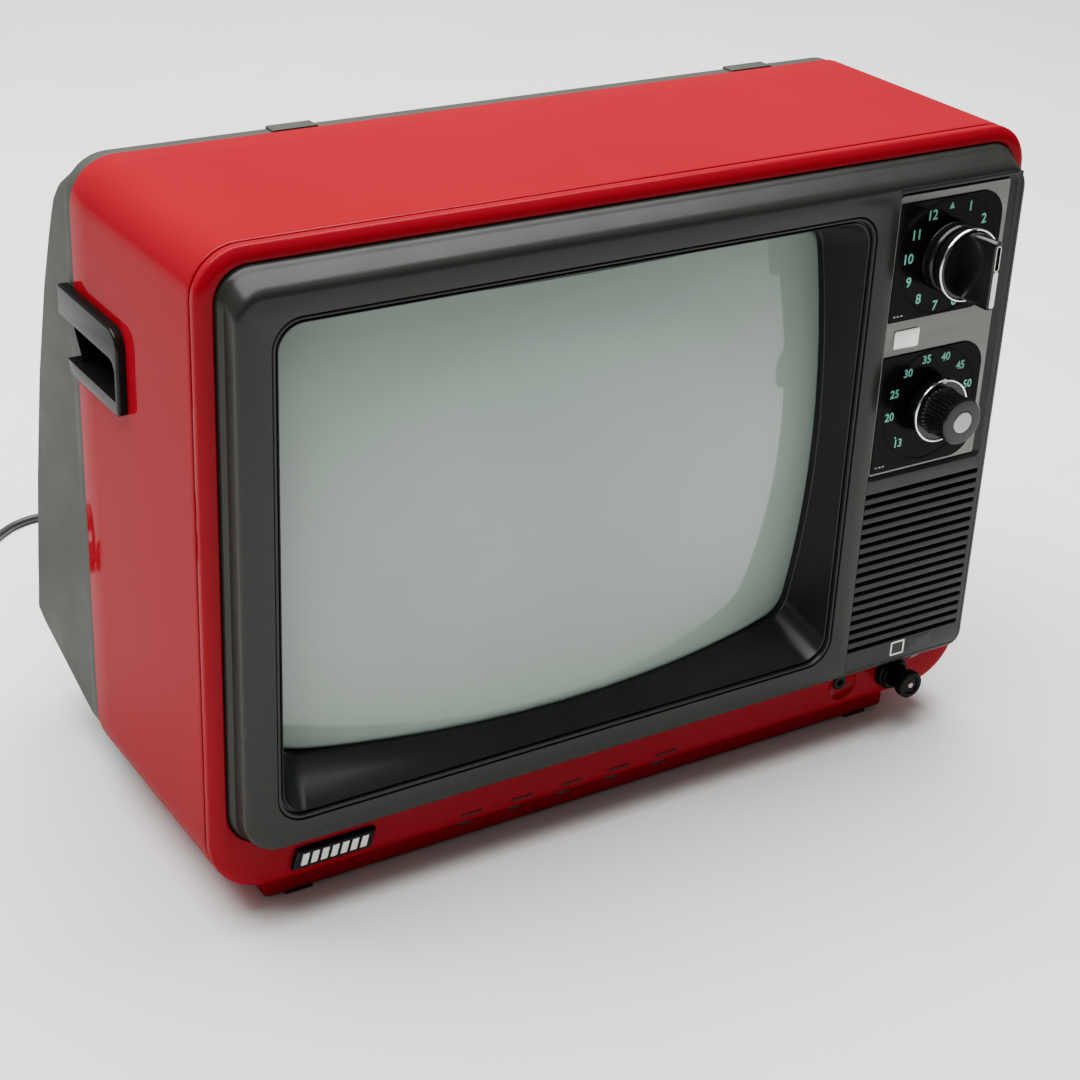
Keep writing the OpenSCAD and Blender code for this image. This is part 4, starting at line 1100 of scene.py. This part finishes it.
def make_cord():
    """The mains lead: out of its bushing, down to the floor, and coiled behind the set."""
    wound = coil_points()
    tail = [(-249, PLUG_Y, 7.3), (-255, PLUG_Y, 6.4), (-262, PLUG_Y, 6), (-268, PLUG_Y, 6)]
    pts = ROUTE + wound + tail
    curve = bpy.data.curves.new("mains_lead", "CURVE")
    curve.dimensions = "3D"
    curve.resolution_u = 4
    curve.bevel_depth = LEAD / 2 * MM
    curve.bevel_resolution = 4
    curve.use_fill_caps = True
    spline = curve.splines.new("BEZIER")
    spline.bezier_points.add(len(pts) - 1)
    for point, p in zip(spline.bezier_points, pts):
        point.co = at(*p)
        point.handle_left_type = point.handle_right_type = "AUTO"
    lead = show(bpy.data.objects.new("mains_lead", curve))
    curve.materials.append(CORD)
    settle(lead, "chassis", ["power_cord", "cord_coil"])

    boot = [
        (0, 240), (6.9, 240), (6.9, 250), (9.6, 250), (10, 250.6), (10, 252.4), (9.6, 253), (6.8, 253.4)
    ]
    y = 256.0
    while y < 282:
        r = 6.4 - 2.9 * (y - 256) / 26
        boot += [(r, y), (r, y + 1.9), (r - 0.9, y + 2.2), (r - 0.9, y + 3.4)]
        y += 3.7
    boot += [(3.3, 283.5), (2.7, 285), (0, 285)]
    bushing = turned("lead_bushing", LEAD_X, LEAD_Z, boot, CORD, around=40)
    settle(bushing, "chassis", ["cord_bushing"])

    swell = [
        (-264.5, 3.2, 3.2), (-267, 3.6, 3.5), (-272, 5.2, 4.4), (-276, 7.6, 5.3),
        (-279, 8.6, 5.8), (-290.5, 9.0, 6.0), (-293, 8.7, 5.8), (-294, 7.8, 5.2),
    ]
    body = []
    for x, hy, hz in swell:
        line = outline(-hy, hy, -hz, hz, min(hy, hz) * 0.6, spans=2, steps=5)
        body.append((x, [(PLUG_Y + u, 6 + v) for u, v in line]))
    plug = across("plug_moulding", body, CORD, nodes=["plug_body"], slot="cord_black")
    blades = []
    for s in (-1, 1):
        y = PLUG_Y + s * 6.35
        pts = [(-293, 2.9), (-311, 2.9), (-312, 3.9), (-312, 8.1), (-311, 9.1), (-293, 9.1)]
        blades.append(prism("blade", pts, y - 0.75, y + 0.75, BRASS))
    pins = joined("plug_pins", blades, "chassis", ["plug_blades"])

    inner, outer, h = 18.6, 39.4, 10.2
    rims = []
    for grow, low in ((0.0, 0.1), (0.9, 0.0)):
        y0, y1 = COIL_Y + inner - grow, COIL_Y + outer + grow
        rims.append(outline(y0, y1, low, h + grow, 2.5 + grow, 0.6, spans=2, steps=4))
    x0, x1 = COIL_X - 2.2, COIL_X + 2.2
    loop = [(x0, rims[0]), (x0, rims[1]), (x1, rims[1]), (x1, rims[0])]
    tie = across("lead_tie", loop, TIE, closed=True, nodes=["cord_tie"], slot="tie_plastic")


# ---------------------------------------------------------------- carried-over CAD nodes

SLOT_FINISH = {
    "red_plastic": RED, "dark_plastic": GREY, "black_plastic": BLACK, "surround_metal": METAL,
    "dial_black": DIAL, "bright_metal": SILVER, "screen_glass": SCREEN, "chrome": CHROME,
    "grey_plastic": COVER, "rubber": RUBBER, "cord_black": CORD, "tie_plastic": TIE,
    "brass": BRASS, "knob_black": KNOB, "steel": STEEL, "zinc_steel": ZINC,
    "aluminium": finish_of("heat_sink_aluminium", (0.68, 0.68, 0.68), 0.35, metal=1.0),
    "funnel_glass": finish_of("funnel_coat", (0.03, 0.03, 0.033), 0.6, vary=0.3, patch=25),
    "dark_steel": finish_of("dark_steel", (0.09, 0.09, 0.09), 0.5, metal=0.8),
    "ferrite": finish_of("ferrite", (0.05, 0.045, 0.04), 0.55, vary=0.2, patch=70),
    "copper": finish_of(
        "copper", (0.62, 0.24, 0.09), 0.3, metal=0.9, vary=0.25, patch=260, stretch=(1, 0.1, 1)
    ),
    "white_plastic": finish_of("white_plastic", (0.72, 0.72, 0.69), 0.45, vary=0.05),
    "circuit_board": finish_of("circuit_board", (0.30, 0.15, 0.055), 0.5, vary=0.2, patch=60),
    "red_rubber": finish_of("red_rubber", (0.20, 0.03, 0.02), 0.5, vary=0.15, patch=60),
    "black_tape": finish_of("black_tape", (0.02, 0.02, 0.022), 0.55, vary=0.3, patch=160),
    "cone_paper": finish_of("cone_paper", (0.03, 0.027, 0.023), 0.8, vary=0.25, patch=120, grain=0.4),
    "capacitor_sleeve": finish_of("capacitor_sleeve", (0.02, 0.03, 0.11), 0.3, vary=0.1, patch=50),
}


def dress_cad_nodes():
    """Gives the CAD nodes that are shown as they are the finish of their slot."""
    for part in frame["record"]["subparts"]:
        obj = frame["nodes"][part["node"]]
        if obj.hide_render:
            continue
        obj.data.materials.clear()
        obj.data.materials.append(SLOT_FINISH[part["material_slot"]])


# ---------------------------------------------------------------- surroundings


def make_surroundings():
    """A pale floor, a soft sky and one large light."""
    mesh = bpy.data.meshes.new("floor")
    size = 6.0
    corners = [(-size, -size, 0), (size, -size, 0), (size, size, 0), (-size, size, 0)]
    mesh.from_pydata(corners, [], [(0, 1, 2, 3)])
    floor = show(bpy.data.objects.new("floor", mesh))
    mat = finish_of("floor_paint", (0.84, 0.835, 0.815), 0.75, vary=0.025, patch=6, gloss=0.3)
    mesh.materials.append(mat)
    world = bpy.data.worlds.new("world")
    bpy.context.scene.world = world
    world.use_nodes = True
    tree = world.node_tree
    ground = tree.nodes["Background"]
    ground.inputs["Color"].default_value = (0.93, 1.0, 0.97, 1)
    coords = tree.nodes.new("ShaderNodeTexCoord")
    parts = tree.nodes.new("ShaderNodeSeparateXYZ")
    tree.links.new(coords.outputs["Generated"], parts.inputs["Vector"])
    back = reckon(tree, "MULTIPLY", parts.outputs["Y"], 0.65)
    up = reckon(tree, "MULTIPLY", parts.outputs["Z"], 0.6)
    toward = reckon(tree, "ADD", back, up)
    glow = tree.nodes.new("ShaderNodeMapRange")
    glow.inputs["From Min"].default_value = -0.45
    glow.inputs["From Max"].default_value = 0.85
    glow.inputs["To Min"].default_value = 0.06
    glow.inputs["To Max"].default_value = 0.5
    tree.links.new(toward, glow.inputs["Value"])
    tree.links.new(glow.outputs["Result"], ground.inputs["Strength"])

    data = bpy.data.lights.new("sky", "AREA")
    data.shape = "RECTANGLE"
    data.size, data.size_y = 3.0, 2.2
    data.energy = 205
    spot, aim = Vector((-0.1, 0.35, 2.2)), Vector((0, -0.05, 0))
    lamp = bpy.data.objects.new("sky", data)
    lamp.location = spot
    lamp.rotation_mode = "QUATERNION"
    lamp.rotation_quaternion = (aim - spot).to_track_quat("-Z", "Y")
    show(lamp)


make_cabinet()
make_marks()
make_bezel()
make_mask()
make_screen()
make_panel()
make_dials()
make_numbers()
make_badges()
make_knobs()
make_grip(-1, "left_grip_piece", "left_grip")
make_grip(1, "right_grip_piece", "right_grip")
make_rear()
make_cord()
dress_cad_nodes()
make_surroundings()
